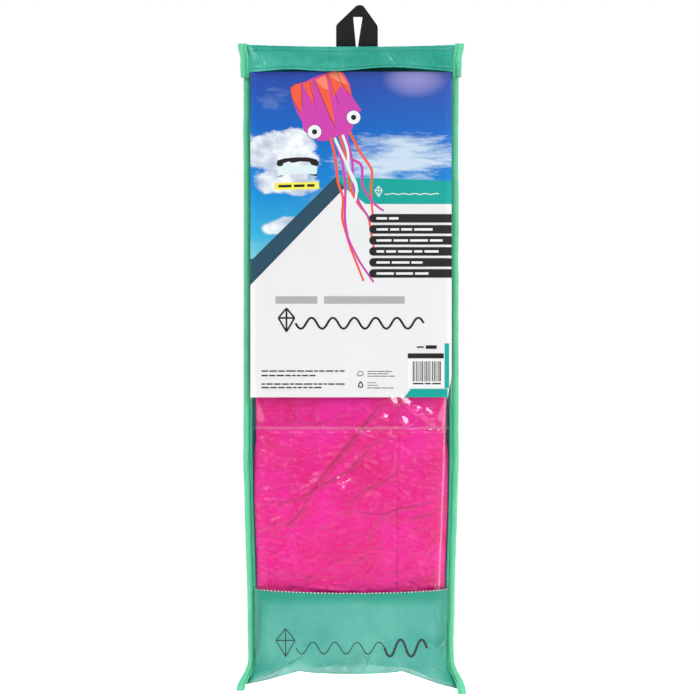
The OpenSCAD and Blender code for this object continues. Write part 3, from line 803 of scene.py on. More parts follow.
def films():
    drops = np.concatenate([
        np.linspace(12 * MM, 26 * MM, 10), np.linspace(28 * MM, 340 * MM, 90),
        np.linspace(341 * MM, 450 * MM, 200), np.linspace(451.5 * MM, PANEL_DROP + 8 * MM, 64),
    ])
    window = sleeve_sheet("window", CLEAR, drops, WINDOW_O, film_folds, 260)
    finish_piece(window, "sleeve", "clear_film", "window_film")
    declare_sheet(window)
    drops = np.linspace(14 * MM, POCKET_DROP + 1 * MM, 150)
    pocket = sleeve_sheet("card_pocket", POCKET, drops, POCKET_O, None, 110)
    finish_piece(pocket, "sleeve", "clear_film", "pocket_film")
    declare_sheet(pocket)


def back_sheet():
    zs = np.concatenate([np.linspace(0.3, 60, 40), np.linspace(62, 560, 150), np.linspace(563, 629, 40)]) * MM
    us = np.concatenate([np.linspace(-1, -0.86, 20), np.linspace(-0.84, 0.84, 84), np.linspace(0.86, 1, 20)])
    U, D = np.meshgrid(us, zs)
    last = 560 * MM  # the rows below this one spread to follow the bottom edge
    D = np.where(D > last, last + (D - last) * (bottom_drop(CX + U * HALF_W) - last) / (69 * MM), D)
    X = CX + U * (side_x(D) - EDGE_IN)
    Z = FOLD_Z - D
    calm = ease((1 - np.abs(U)) / 0.1) * ease(D / (25 * MM)) * ease((bottom_drop(X) - D) / (30 * MM))
    loose = 1 - np.exp(-((X / (45 * MM)) ** 2) - ((D / (50 * MM)) ** 2))
    wave = 0.9 * noise(X, Z, 55 * MM, 21, 1.6) + 0.5 * noise(X, Z, 20 * MM, 22, 1.4)
    wave += 0.25 * noise(X, Z, 8 * MM, 23)
    pull = sum(
        crease(X - CX, -D, (s * 100 * MM, -d * MM), (s * 45 * MM, -(d + k) * MM), 4 * MM, 1.1 * MM, 0.3)
        for s, d, k in ((-1, 120, 26), (1, 170, 20), (-1, 300, -18), (1, 380, 22), (-1, 470, 24), (1, 560, -20))
    )
    Y = calm * loose * (np.maximum(0, wave + 0.6) * MM + pull)
    # the full bag draws the back cloth round its sides, in front of the seams
    near = (np.abs(X - CX) - 97.6 * MM) / (1.8 * MM)
    wall = ease(near) * ease((101.5 * MM - np.abs(X - CX)) / (2.2 * MM))
    ends = ease((D - CARD_DROP + 16 * MM) / (30 * MM)), ease((PANEL_DROP + 30 * MM - D) / (40 * MM))
    Y = Y - 13 * MM * wall * ends[0] * ends[1]
    P = np.stack([waist(X, Z), Y, Z], -1)
    back = grid("back_sheet", P, TEAL_BACK, CLOTH, inward=-1)
    back.data.flip_normals()
    finish_piece(back, "sleeve", "teal_nylon", "back_panel")
    declare_sheet(back)


def binding(side):
    """Folded tape over a side edge: a rounded U in section, with a groove where it is stitched."""
    hand = "left" if side < 0 else "right"
    w = BINDING_W
    front, back, wall = -STACK - 0.75 * MM, 0.75 * MM, 0.6 * MM
    inner = [  # distance in from the outer fold, and y, from the front's inner edge round to the back's
        (w, front + wall), (w + 0.05 * MM, front + 0.1 * MM), (w - 0.3 * MM, front - 0.4 * MM),
        (w - 1.2 * MM, front - 0.4 * MM), (w - 1.7 * MM, front + 0.3 * MM), (w - 2.1 * MM, front + 0.3 * MM),
        (w - 2.6 * MM, front - 0.55 * MM), (w * 0.45, front - 1.0 * MM), (w * 0.25, front - 0.7 * MM),
        (w * 0.12, front + 0.15 * MM), (w * 0.03, front + 0.75 * MM),
    ]
    mid = (front + back) / 2
    mirrored = [(d, 2 * mid - y) for d, y in inner[::-1]]
    loop = inner + [(0.0, mid)] + mirrored
    inside = [(w - 0.2 * MM, back - wall), (1.2 * MM, back - wall), (1.2 * MM, front + wall),
              (w - 0.2 * MM, front + wall)]
    loop = np.array(loop + inside)
    drops = np.linspace(1.5 * MM, BOTTOM_DROP + CORNER_DROP + (1.6 if side < 0 else 5.2) * MM, 330)
    rows = []
    for d in drops:
        z = FOLD_Z - d
        lean = 0.35 * MM * float(noise(z, side * 0.1, 30 * MM, 31))
        lean += 0.18 * MM * float(noise(z, side * 0.1, 7 * MM, 32))
        puff = 1 + 0.16 * float(noise(z, side * 0.2, 11 * MM, 33))
        x = CX + side * (side_x(np.array(d)) - loop[:, 0]) + side * lean
        y = mid + (loop[:, 1] - mid) * puff
        rows.append(np.stack([waist(x, z), y, np.full(len(loop), z)], 1))
    edge_strip(hand + "_edge_tape", rows, side, "sleeve", hand + "_binding")
    front_path = np.array([
        (waist(CX + side * (side_x(np.array(d)) - w + 1.9 * MM), FOLD_Z - d), front + 0.1 * MM, FOLD_Z - d)
        for d in np.linspace(36 * MM, BOTTOM_DROP + CORNER_DROP - 4 * MM, 200)
    ])
    back_path = front_path.copy()
    back_path[:, 1] = 2 * mid - back_path[:, 1]
    return front_path, back_path


def bindings():
    paths = []
    for side in (-1, 1):
        paths += binding(side)
    sew("edge_tape_stitches", paths, MINT_THREAD, (3.0, 0.7, 0.28), "sleeve", "mint_thread",
        "binding_stitching")


def seam_stitches():
    xs = CX + np.linspace(-0.985, 0.985, 300) * RISE_W
    z = np.full_like(xs, FOLD_Z - POCKET_DROP)
    path = np.stack([waist(xs, z), front_y(xs, z, WINDOW_O) - film_folds(xs, z) - 0.1 * MM, z], 1)
    sew("pocket_seam", [path], GREY_THREAD, (3.4, 0.66, 0.42), "sleeve", "grey_thread", "pocket_seam_stitching")
    z = FOLD_Z - PANEL_DROP + 2.2 * MM - PANEL_SAG * (1 - ((xs - CX) / HALF_W) ** 2)
    path = np.stack([waist(xs, z), front_y(xs, z) - panel_folds(xs, z) - 0.2 * MM, z], 1)
    sew("panel_seam", [path - [0, 0.3 * MM, 0]], PALE_THREAD, (3.6, 0.5, 0.55), "sleeve", "teal_thread",
        "panel_seam_stitching")
    # a dark tube under the pale stitches: a painted shadow line of the panel's edge, which shows dark in the
    # gaps between stitches
    under = new_object("panel_seam_shadow_line", *tube(path, 0.5 * MM), TEAL_THREAD)
    finish_piece(under, "sleeve", "teal_thread")


# ---- Flap ----------------------------------------------------------------------------


def flap_point(t, s):
    """A point of the flap's slope. t is the share of the half width, s is 0 at the fold and 1 at the hem."""
    c = crown(np.clip(np.abs(t) * FLAP_HALF_W / (RISE_W + 1.5 * MM), 0, 1), 16)
    x = CX + t * FLAP_HALF_W
    y = -(STACK + FLAP_STAND) - (CARD_DEPTH - STACK) * s * c
    hem = 27.5 * MM - 3 * MM * np.exp(-(((t + 0.55) / 0.25) ** 2))
    hem = hem - 5 * MM * np.exp(-(((t - 0.38) / 0.42) ** 2))
    sag = 2.2 * MM * (1 - t * t) * (1 - s)
    z = FOLD_Z + 1.6 * MM - s * (hem + 1.6 * MM) - sag
    return x, y, z


def flap_pucker(x, s):
    """Gathers that run up from the hem and down from the stitching of the fold."""
    down = s * 25 * MM
    h = 0.8 * MM * noise(x, down, 22 * MM, 41, 1.2)
    h += 1.3 * MM * (1 - np.abs(noise(x + 0.4 * down, down, 10 * MM, 42, 3.2))) ** 3
    h += 0.6 * MM * (1 - np.abs(noise(x - 0.3 * down, down, 4.5 * MM, 45, 3.0))) ** 2
    sewn = 0.8 * np.exp(-(((s - 0.2) / 0.03) ** 2)), 0.8 * np.exp(-(((s - 0.9) / 0.035) ** 2))
    ends = ease(s / 0.12) * (1 - sewn[0] - sewn[1])
    calm = ease((FLAP_HALF_W - 9 * MM - np.abs(x - CX)) / (7 * MM))
    h = h * ends * calm
    for path, height in (
        (((54, 5), (46, 12), (42, 22)), 1.5), (((60, 6), (52, 16)), 1.0), (((36, 8), (43, 18)), 1.2),
        (((-24, 9), (-30, 20)), 1.2), (((-14, 7), (-17, 21)), 1.1), (((8, 8), (4, 19)), 1.0),
        (((-68, 6), (-74, 18)), 0.9),
        (((78, 8), (84, 20)), 0.9), (((-44, 9), (-40, 21)), 0.8), (((24, 6), (20, 20)), 1.0),
        (((-90, 8), (-84, 20)), 0.7),
    ):
        h += fold(x - CX, -down, [(p, -q) for p, q in path], height * 1.7, 3.2, 1.0)
    return h


def flap():
    t = np.linspace(-1, 1, 300)
    _, _, top = flap_point(t, np.zeros_like(t))
    rise = top - FOLD_Z

    def row(y, z):
        return np.stack([CX + t * FLAP_HALF_W, np.full_like(t, y * MM), z], 1)

    # from the seam on the back, up to the fold
    rows = [row(y, np.full_like(t, FOLD_Z + z * MM)) for y, z in ((0.35, -10.0), (0.3, -6.0), (0.28, -2.5))]
    for y, share, lift in ((0.22, 0.0, -0.6), (0.0, 0.35, -0.2), (-0.6, 0.75, 0.1), (-1.6, 0.95, 0.2)):
        rows.append(row(y, FOLD_Z + rise * share + lift * MM))
    for y in np.linspace(2.6, 6.4, 6):
        rows.append(row(-y, top + 0.5 * MM * np.sin((y - 1.6) / 5.4 * np.pi)))
    for s in np.linspace(0.0, 1.0, 44):
        x, y, z = flap_point(t, np.full_like(t, s))
        rows.append(np.stack([x, y - flap_pucker(x, np.full_like(t, s)), z], 1))
    obj = grid("flap_cloth", np.array(rows), TEAL, 0.9 * MM)
    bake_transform(obj)
    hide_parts("flap_panel")
    declare_sheet(obj)

    paths = []
    for s in (0.2, 0.9):
        k = np.linspace(-0.92, 0.92, 300)
        x, y, z = flap_point(k, np.full_like(k, s))
        paths.append(np.stack([x, y - flap_pucker(x, np.full_like(k, s)) - 0.1 * MM, z], 1))
    sew("flap_stitches", paths, TEAL_THREAD, (3.0, 0.68, 0.3), "flap", "teal_thread", "flap_stitching")
    for side in (-1, 1):
        flap_end_tape(side)
    closure()


def flap_end_tape(side):
    """Folded tape over an end of the flap, a little wider than the one on the sleeve's side."""
    hand = "left" if side < 0 else "right"
    w = 9.0 * MM
    front = -(STACK + FLAP_STAND) - 0.85 * MM
    back = front + 1.0 * MM + 1.7 * MM
    mid = (front + back) / 2
    outer = [
        (w, front + 0.5 * MM), (w + 0.05 * MM, front), (w - 0.4 * MM, front - 0.5 * MM),
        (w - 1.7 * MM, front - 0.5 * MM), (w - 2.3 * MM, front + 0.3 * MM), (w - 2.7 * MM, front + 0.3 * MM),
        (w - 3.3 * MM, front - 0.6 * MM), (w * 0.35, front - 0.8 * MM), (w * 0.15, front - 0.4 * MM),
        (w * 0.04, front + 0.3 * MM),
    ]
    loop = np.array(outer + [(0, mid)] + [(d, 2 * mid - y) for d, y in outer[::-1]]
                    + [(w - 0.2 * MM, back - 0.5 * MM), (1.0 * MM, back - 0.5 * MM),
                       (1.0 * MM, front + 0.5 * MM), (w - 0.2 * MM, front + 0.5 * MM)])
    rows = []
    for d in np.linspace(-2.6 * MM, FLAP_LEN - 0.6 * MM, 44):
        z = FOLD_Z - d
        flare = 2.2 * MM * (1 - ease(d / (14 * MM))) - 0.6 * MM * ease((d - 20 * MM) / (12 * MM))
        wobble = 0.25 * MM * float(noise(z, side * 0.3, 9 * MM, 51))
        x = CX + side * (FLAP_HALF_W + 0.6 * MM + flare + wobble - loop[:, 0])
        rows.append(np.stack([x, loop[:, 1], np.full(len(loop), z)], 1))
    edge_strip("flap_%s_tape" % hand, rows, side, "flap", "flap_%s_binding" % hand)
    path = np.array([(CX + side * (FLAP_HALF_W + 1.4 * MM - w + 2.5 * MM), front + 0.15 * MM, FOLD_Z - d * MM)
                     for d in np.linspace(0, 30, 30)])
    sew("flap_%s_tape_stitches" % hand, [path], TEAL_THREAD, (3.0, 0.7, 0.28), "flap", "teal_thread")


def closure():
    """The two halves of the hook and loop closure, with their napped faces, and the mouth's hem."""
    T, S = np.meshgrid(np.linspace(-0.44, 0.44, 130), np.linspace(0.45, 0.8, 14))
    x, y, z = flap_point(T, S)
    nap = 0.18 * MM * noise(x, z, 1.3 * MM, 61)
    loops, hooks = front_y(x, z) - 0.75 * MM - nap, y + 1.4 * MM + nap
    for name, node, body, face in (
        ("closure_loops", "closure_loop_tape", "sleeve", loops),
        ("closure_hooks", "closure_hook_tape", "flap", hooks),
    ):
        obj = grid(name, np.stack([x, face, z], -1), CLOSURE, 0.8 * MM)
        finish_piece(obj, body, "closure_tape", node)
    T, S = np.meshgrid(np.linspace(-0.86, 0.86, 150), np.linspace(0.4, 0.9, 16))
    x, _, z = flap_point(T, S)
    hem = grid("mouth_edge", np.stack([x, front_y(x, z) - 0.25 * MM, z], -1), TEAL, 0.3 * MM)
    finish_piece(hem, "sleeve", "teal_nylon", "mouth_hem")
    declare_sheet(hem)


# ---- Hang loop -----------------------------------------------------------------------


def smooth_path(points, count, rounding):
    """Points along a polyline whose corners are rounded by averaging."""
    points = np.array(points, float)
    s = arc(points)
    fine = np.linspace(0, s[-1], count)
    path = np.stack([np.interp(fine, s, points[:, k]) for k in range(2)], 1)
    reach = max(1, int(rounding / (s[-1] / count)))
    kernel = np.hanning(2 * reach + 3)[1:-1]
    kernel /= kernel.sum()
    padded = np.pad(path, ((reach, reach), (0, 0)), mode="reflect", reflect_type="odd")
    return np.stack([np.convolve(padded[:, k], kernel, "valid") for k in range(2)], 1)


def webbing_loop():
    """One strip of webbing, from one sewn end up round the eye and down to the other."""
    end = -56 * MM
    leg, outer, shoulder, peak = 1 * MM, 21 * MM, -8 * MM, 12 * MM
    count = 221
    inner_path = smooth_path(
        [(-leg, end), (-leg, LOOP_BEND_Z), (-3.8 * MM, 0), (5.6 * MM, 0), (leg, LOOP_BEND_Z), (leg, end)],
        count, 0.8 * MM)
    outer_path = smooth_path(
        [(-outer, end), (-outer, shoulder), (0, peak), (6 * MM, peak), (outer, shoulder - 1 * MM),
        (outer, end)],
        count, 4 * MM)
    across = np.linspace(0, 1, 17)
    P = np.zeros((count, len(across), 3))
    for j, a in enumerate(across):
        line = (1 - a) * inner_path + a * outer_path
        ridge = np.exp(-((line[:, 0] / (5 * MM)) ** 2)) * ease((line[:, 1] + 2 * MM) / (6 * MM))
        bow = 0.25 * MM * np.sin(a * np.pi) * np.where(line[:, 1] < LOOP_BEND_Z, 0, 1)
        selvedge = 0.18 * MM * (np.exp(-((a / 0.06) ** 2)) + np.exp(-(((1 - a) / 0.06) ** 2)))
        P[:, j, 0], P[:, j, 2] = line[:, 0], line[:, 1]
        P[:, j, 1] = LOOP_Y - 0.7 * MM - 1.2 * MM * ridge - bow + selvedge
    obj = grid("webbing_loop", P, WEBBING, 1.3 * MM)
    obj["flat"] = [WEBBING_W, obj["flat"][1]]  # the middle row is the eye's peak, where the strip is narrower
    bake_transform(obj)
    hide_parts("hang_loop", "loop_ends")
    declare_sheet(obj)

    low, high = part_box("loop_end_stitching")
    y = highest("loop_ends").y + 0.1 * MM
    paths = []
    for side in (-1, 1):  # a box with its two diagonals
        a, b = (side * 4.2 * MM, low.z), (side * 17.8 * MM, low.z)
        c, d = (side * 4.2 * MM, high.z), (side * 17.8 * MM, high.z)
        for p, q in ((a, b), (c, d), (a, c), (b, d), (a, d), (c, b)):
            steps = np.linspace(0, 1, 12)
            paths.append([(p[0] + (q[0] - p[0]) * k, y, p[1] + (q[1] - p[1]) * k) for k in steps])
    sew("loop_stitches", paths, BLACK_THREAD, (2.2, 0.75, 0.28), "sleeve", "black_thread", "loop_end_stitching")


# ---- Kite ----------------------------------------------------------------------------


LEFT_SEAM = [(-56, 180), (-57, 380), (-58, 421), (-58, 480), (-54, 507), (-41, 550), (-34, 575)]
RIGHT_SEAM = [(47, 180), (47, 575)]


def seam_x(path, drop):
    return CX + np.interp(drop, [p[1] * MM for p in path], [p[0] * MM for p in path])


def kite_folds(x, z):
    """Creases of the folded canopy: long diagonals, their branches and many small wrinkles."""
    u, v = x - CX, FOLD_Z - z
    warp = 4 * MM * noise(x, z, 21 * MM, 70) + 1.5 * MM * noise(x, z, 8 * MM, 69)
    h = 1.2 * MM * noise(x, z, 42 * MM, 71)
    h = h + 0.7 * MM * noise(x + 0.5 * z, z - 0.3 * x + warp, 22 * MM, 72, 0.45)
    ridge = (1 - np.abs(noise(x + warp, z + 0.3 * x + warp, 26 * MM, 73, 0.3))) ** 4
    h += 1.0 * MM * ridge * (0.6 + 0.4 * noise(x, z, 30 * MM, 77))
    h += 1.0 * MM * (1 - np.abs(noise(x + warp, z - 0.2 * x + warp, 15 * MM, 74, 0.26))) ** 5
    h += 0.7 * MM * (1 - np.abs(noise(x + 0.8 * z + warp, z, 13 * MM, 76, 0.5))) ** 4
    h += 0.45 * MM * (1 - np.abs(noise(x - 0.6 * z, z + warp, 10 * MM, 78, 0.4))) ** 3
    h += 0.16 * MM * noise(x, z, 3.5 * MM, 75, 0.3)
    for path, height, gentle, steep in (
        (((35, 350), (5, 388), (-20, 418), (-41, 446), (-52, 453), (-73, 456)), 5.0, 12, 1.7),
        (((22, 396), (10, 412), (-4, 425), (-41, 445)), 4.0, 7, 1.8),
        (((-41, 446), (-48, 462), (-58, 474), (-74, 484)), 2.8, 4, 2.0),
        (((48, 423), (35, 433), (15, 443), (-13, 462)), 3.0, 6, 2.0),
        (((92, 454), (48, 462), (29, 468), (1, 464), (-18, 467)), 3.4, 6, 1.8),
        (((92, 462), (70, 469), (47, 476)), 3.4, 5, 1.5), (((-95, 392), (-83, 399), (-63, 402)), 3.0, 2.0, 5),
        (((-90, 404), (-76, 415), (-63, 423)), 2.6, 2.0, 5),
        (((-92, 453), (-73, 457), (-55, 452)), 2.2, 4, 1.6),
        (((-55, 470), (-83, 479), (-95, 485)), 2.0, 4, 1.6), (((24, 480), (16, 494)), 1.8, 3, 1.3),
        (((-4, 508), (24, 509), (41, 519), (52, 534)), 2.0, 5, 1.7),
        (((-12, 371), (-32, 378), (-65, 375)), 2.4, 5, 1.4),
        (((-44, 394), (-34, 408), (-28, 418)), 1.8, 2, 1.3), (((-30, 402), (-44, 412)), 1.3, 2, 1.3),
        (((88, 476), (92, 500)), 1.8, 2, 3), (((-5, 497), (-1, 500), (2, 497)), 1.4, 1.6, 1.4),
        (((36, 470), (24, 476), (20, 486)), 1.7, 2.5, 1.3), (((92, 425), (58, 416), (48, 412)), 1.4, 2, 5),
        (((-90, 520), (-50, 524), (-20, 520)), 1.2, 4, 1.8), (((-60, 540), (0, 545), (48, 540)), 1.2, 5, 1.8),
        (((60, 500), (90, 512)), 1.4, 2, 3), (((10, 400), (34, 392)), 1.3, 3, 1.4),
        (((92, 382), (50, 388)), 1.2, 5, 1.5),
    ):
        h += fold(u, -v, [(p, -q) for p, q in path[::-1]], height * 0.95, gentle, steep * 0.8)
    drop = FOLD_Z - z
    for path in (LEFT_SEAM, RIGHT_SEAM):
        h -= 0.6 * MM * np.exp(-(((x - seam_x(path, drop)) / (1.2 * MM)) ** 2))
    room = 0.3 + 0.7 * ease((drop - CARD_DROP + 8 * MM) / (30 * MM))
    return np.clip(h - 1.4 * MM, -4.0 * MM, 6.5 * MM) * room


def kite_front_y(x, z):
    """y of the folded canopy's upper skin, kept behind the films."""
    drop = FOLD_Z - z
    below = ease((drop - POCKET_DROP) / (6 * MM))
    behind = 7.0 * MM + 1.2 * MM * below
    limit = 2.7 * MM - 1.4 * MM * below
    raw = behind - kite_folds(x, z)
    offset = limit + np.log1p(np.exp((raw - limit) / (0.5 * MM))) * 0.5 * MM
    return front_y(x, z, 0.0) + offset


def round_end(gone, reach):
    """Share of the full depth left, gone metres into an end that is rounded over reach metres."""
    return np.sqrt(max(0.02, 1 - (gone / reach) ** 2)) if gone > 0 else 1


def kite_bundle():
    """The folded canopy: a closed form with a creased upper skin and a plain back."""
    half = (highest("kite_skin_right").x - lowest("kite_skin_left").x) / 2 + 1.5 * MM
    end_drop = BOTTOM_DROP - 14 * MM
    drops = np.concatenate([np.linspace(BUNDLE_TOP, 360 * MM, 50), np.linspace(361 * MM, 586 * MM, 180),
                            np.linspace(588 * MM, end_drop, 30)])
    u = np.linspace(-1, 1, 170)
    t = np.sign(u) * (1 - (1 - np.abs(u)) ** 1.3)
    back_t = np.linspace(1, -1, 40)[1:-1]
    back_y = highest("kite_lower_skin").y - 0.1 * MM
    middle_y = back_y - 4 * MM
    rows = []
    for d in drops:
        depth = min(round_end(d - (end_drop - 46 * MM), 46 * MM), round_end(BUNDLE_TOP + 9 * MM - d, 9 * MM))
        x = CX + t * (half + 2.5 * MM * ease((d - 392 * MM) / (20 * MM)) * ease((end_drop - d) / (30 * MM)))
        z = np.full_like(x, FOLD_Z - d)
        y = np.minimum(kite_front_y(x, z), back_y - 0.6 * MM)
        bx = CX + back_t * half * 0.985
        by = back_y - 0.5 * MM * (1 + noise(bx, 0 * bx + d, 14 * MM, 75)) - 5 * MM * np.abs(back_t) ** 16
        xs, ys = np.concatenate([x, bx]), np.concatenate([y, by])
        zs = np.full_like(xs, FOLD_Z - d)
        rows.append(np.stack([waist(xs, zs), middle_y + (ys - middle_y) * depth, zs], 1))
    P = np.array(rows)
    obj = grid("kite_bundle", P, PINK, closed=True)
    # how much painted shade each fold flank of the kite takes
    mark_fold_shade(obj, kite_folds, 0.06, 0.9, 0.85)
    cap_ends(obj, P)
    finish_piece(obj, "sleeve", "pink_ripstop", "kite_skin_left", "kite_skin_center", "kite_skin_right",
                 "kite_ribs", "kite_lower_skin")
    paths = []
    for path in (LEFT_SEAM, RIGHT_SEAM):
        drop = np.linspace(BUNDLE_TOP + 12 * MM, 572 * MM, 260)
        x = seam_x(path, drop)
        z = FOLD_Z - drop
        paths.append(np.stack([waist(x, z), kite_front_y(x, z) - 0.12 * MM, z], 1))
    sew("kite_seams", paths, RED_THREAD, (2.6, 0.7, 0.24), "sleeve", "pink_ripstop")


def tentacle(i):
    """A long ribbon, folded to and fro into a flat stack."""
    low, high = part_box("tentacle_%d" % i)
    slot = next(s["material_slot"] for s in frame["record"]["subparts"] if s["node"] == "tentacle_%d" % i)
    material = {"pink_ripstop": PINK, "orange_ripstop": ORANGE, "white_ripstop": WHITE}[slot]
    pitch = (high.y - low.y - 0.4 * MM) / RIBBON_LAYERS
    path = []
    for k in range(RIBBON_LAYERS):
        y = high.y - 0.2 * MM - k * pitch
        inset = 1.5 * MM + 1.2 * MM * abs(float(noise(k * 3 * MM, i * 9 * MM, 4 * MM, 81)))
        a, b = (low.z + inset, high.z - inset) if k % 2 == 0 else (high.z - inset, low.z + inset)
        path += [(y, a), (y - 0.1 * pitch, a + (b - a) * 0.33), (y - 0.2 * pitch, a + (b - a) * 0.66)]
        path.append((y - 0.3 * pitch, b))
        if k < RIBBON_LAYERS - 1:
            out = 0.5 * MM if b > a else -0.5 * MM
            path.append((y - 0.65 * pitch, b + out))
    path = np.array(path)
    xs = np.linspace(low.x + 0.3 * MM, high.x - 0.3 * MM, 5)
    P = np.zeros((len(path), len(xs), 3))
    P[..., 0] = xs[None]
    P[..., 1] = path[:, :1]
    P[..., 2] = path[:, 1:]
    obj = grid("ribbon_%d" % i, P, material)
    finish_piece(obj, "sleeve", slot, "tentacle_%d" % i)
    declare_sheet(obj)


def patch(name, node, material, slot):
    """A round cloth patch with a rolled edge."""
    low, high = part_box(node)
    cx, cz = (low.x + high.x) / 2, (low.z + high.z) / 2
    radius = (high.x - low.x) / 2
    rings, sectors = 14, 72
    r = np.concatenate([np.linspace(0.02, 0.93, rings - 3), [0.965, 0.99, 1.0]]) * radius
    angle = np.arange(sectors) / sectors * 2 * np.pi
    R, A = np.meshgrid(r, angle, indexing="ij")
    X, Z = R * np.cos(A), R * np.sin(A)
    lift = 0.35 * MM * np.sqrt(np.clip(1 - (R / radius) ** 6, 0, 1)) + 0.08 * MM * noise(X, Z, 9 * MM, 85)
    P = np.stack([cx + X, high.y - 0.3 * MM - lift, cz + Z], -1)
    obj = grid(name, P, material, 0.3 * MM, closed=True)
    finish_piece(obj, "sleeve", slot, node)


def reel():
    """The moulded reel keeps its CAD shape with softened edges; the line on it is wound turn by turn."""
    body = frame["nodes"]["reel_frame"]
    body.data.materials.clear()
    body.data.materials.append(plastic("reel_plastic", srgb(24, 24, 26), 0.42))
    weld = body.modifiers.new("weld", "WELD")
    weld.merge_threshold = 0.01 * MM
    bevel = body.modifiers.new("edges", "BEVEL")
    bevel.width, bevel.segments, bevel.limit_method = 0.9 * MM, 3, "ANGLE"
    low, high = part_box("line_winding")
    cx, cy = (low.x + high.x) / 2, (low.y + high.y) / 2
    radius = 0.42 * MM
    parts = []
    for layer in range(2):
        inset = radius * (1 + 2.1 * layer)
        hx, hy = (high.x - low.x) / 2 - inset, (high.y - low.y) / 2 - inset
        turns = int((high.z - low.z - 2 * radius) / (2.05 * radius))
        steps = 40
        k = np.arange(turns * steps + 1)
        a = k / steps * 2 * np.pi
        x = np.clip(1.35 * hx * np.cos(a), -hx, hx)
        y = np.clip(1.9 * hy * np.sin(a) * 2.2, -hy, hy)
        z = low.z + radius + (high.z - low.z - 2 * radius) * k / k[-1]
        if layer:
            z = low.z + high.z - z
        jitter = 0.06 * MM * noise(a * 3 * MM, z, 2 * MM, 91 + layer)
        parts.append(tube(np.stack([cx + x, cy + y + jitter, z], 1), radius))
    obj = new_object("wound_line", *join_parts(parts), LINE)
    finish_piece(obj, "sleeve", "flying_line", "line_winding")


def bridle():
    """The bridle's lines, drawn as closed turns that lie together in one hank."""
    low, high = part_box("bridle_hank")
    cx, cz = (low.x + high.x) / 2, (low.z + high.z) / 2
    half, radius = (high.x - low.x) / 2, 0.55 * MM
    parts = []
    for k in range(26):
        across = 1.0 + (k % 6) * 1.05
        depth = (k // 6) * 1.75 + 0.9
        r = (high.z - low.z) / 2 - across * MM
        straight = half - (high.z - low.z) / 2
        a = np.linspace(0, 2 * np.pi, 64, endpoint=False)
        x = r * np.cos(a) + np.sign(np.cos(a)) * straight
        z = r * np.sin(a)
        wobble = 0.25 * MM * noise(x, z + k, 14 * MM, 95)
        y = high.y - depth * MM + 0.2 * MM * noise(x, z, 11 * MM, 96 + k)
        parts.append(tube(np.stack([cx + x, y, cz + z + wobble], 1), radius, closed=True))
    obj = new_object("bridle_lines", *join_parts(parts), LINE)
    finish_piece(obj, "sleeve", "bridle_line", "bridle_hank")


# ---- Card ----------------------------------------------------------------------------


def card_y(x, z, lift=0.0):
    bow = 0.5 * MM * (1 - ((x - CX) / CARD_HALF) ** 2)
    return -(CARD_DEPTH - CARD_O - 0.5 * MM) - bow - lift + 0 * z


def card_material():
    m = Nodes("card_board")
    fibre = m.noise(m.place(), 700.0, 3.0, 0.6)
    cloud = m.noise(m.place(), 14.0, 2.0, 0.5)
    tint = m.mix(fibre, srgb(236, 234, 234), srgb(226, 225, 226))
    tint = m.mix(m.math("MULTIPLY", cloud, 0.25), tint, srgb(214, 214, 217))
    return m.surface(tint, 0.45, Specular_IOR_Level=0.35)


def sky_material():
    """A generic sky over a calm sea, drawn from height and noise."""
    m = Nodes("sky_print")
    place = m.place()
    x, _, z = m.split(place)
    height = m.math("DIVIDE", m.math("SUBTRACT", z, FOLD_Z - 232 * MM), 210 * MM)
    sky = m.ramp(height, [
        (0.0, srgb(8, 112, 140)), (0.085, srgb(6, 88, 118)), (0.09, srgb(110, 196, 208)),
        (0.2, srgb(52, 170, 212)),
        (0.42, srgb(8, 132, 206)), (0.7, srgb(10, 100, 190)), (1.0, srgb(44, 66, 160)),
    ])
    drift = m.noise(m.scaled(place, (1.0, 1.0, 2.6)), 17.0, 7.0, 0.62)
    wisp = m.noise(m.scaled(place, (0.6, 1.0, 3.4)), 26.0, 8.0, 0.7)
    puff = m.noise(m.scaled(place, (1.0, 1.0, 1.25)), 24.0, 7.0, 0.55)

    def blob(cx, cz, rx, rz):
        du = m.math("DIVIDE", m.math("SUBTRACT", x, cx), rx)
        dv = m.math("DIVIDE", m.math("SUBTRACT", z, cz), rz)
        d2 = m.math("ADD", m.math("MULTIPLY", du, du), m.math("MULTIPLY", dv, dv))
        return m.math("SUBTRACT", 1.0, d2)

    left = blob(CX - 78 * MM, FOLD_Z - 118 * MM, 56 * MM, 33 * MM)
    low_left = blob(CX - 66 * MM, FOLD_Z - 181 * MM, 30 * MM, 12 * MM)
    cumulus = m.math("MAXIMUM", left, low_left)
    cumulus = m.math("ADD", cumulus, m.math("MULTIPLY", m.math("SUBTRACT", puff, 0.5), 3.2))
    cumulus = m.mask(cumulus, 0.12, 0.36)
    band = blob(CX + 52 * MM, FOLD_Z - 112 * MM, 78 * MM, 30 * MM)
    band = m.math("ADD", band, m.math("MULTIPLY", m.math("SUBTRACT", wisp, 0.5), 4.5))
    streaks = m.mask(band, 0.1, 1.3, 0.85)
    thin = m.mask(m.math("ADD", drift, m.math("MULTIPLY", height, -0.12)), 0.5, 0.72, 0.3)
    billows = m.noise(m.scaled(place, (1, 1, 1.4)), 40.0, 5.0, 0.6)
    shade = m.ramp(billows, [(0.35, srgb(178, 190, 208)), (0.6, srgb(240, 242, 246))])
    color = m.mix(thin, sky, srgb(196, 214, 232))
    color = m.mix(streaks, color, srgb(214, 228, 238))
    color = m.mix(cumulus, color, shade)
    sun = blob(CX + 64 * MM, FOLD_Z - 34 * MM, 34 * MM, 20 * MM)
    sun = m.ramp(sun, [(0.0, grey(0)), (0.3, grey(0.12)), (1.0, grey(0.5))])
    color = m.mix(sun, color, srgb(190, 176, 220))
    return m.surface(color, 0.36, Specular_IOR_Level=0.4)


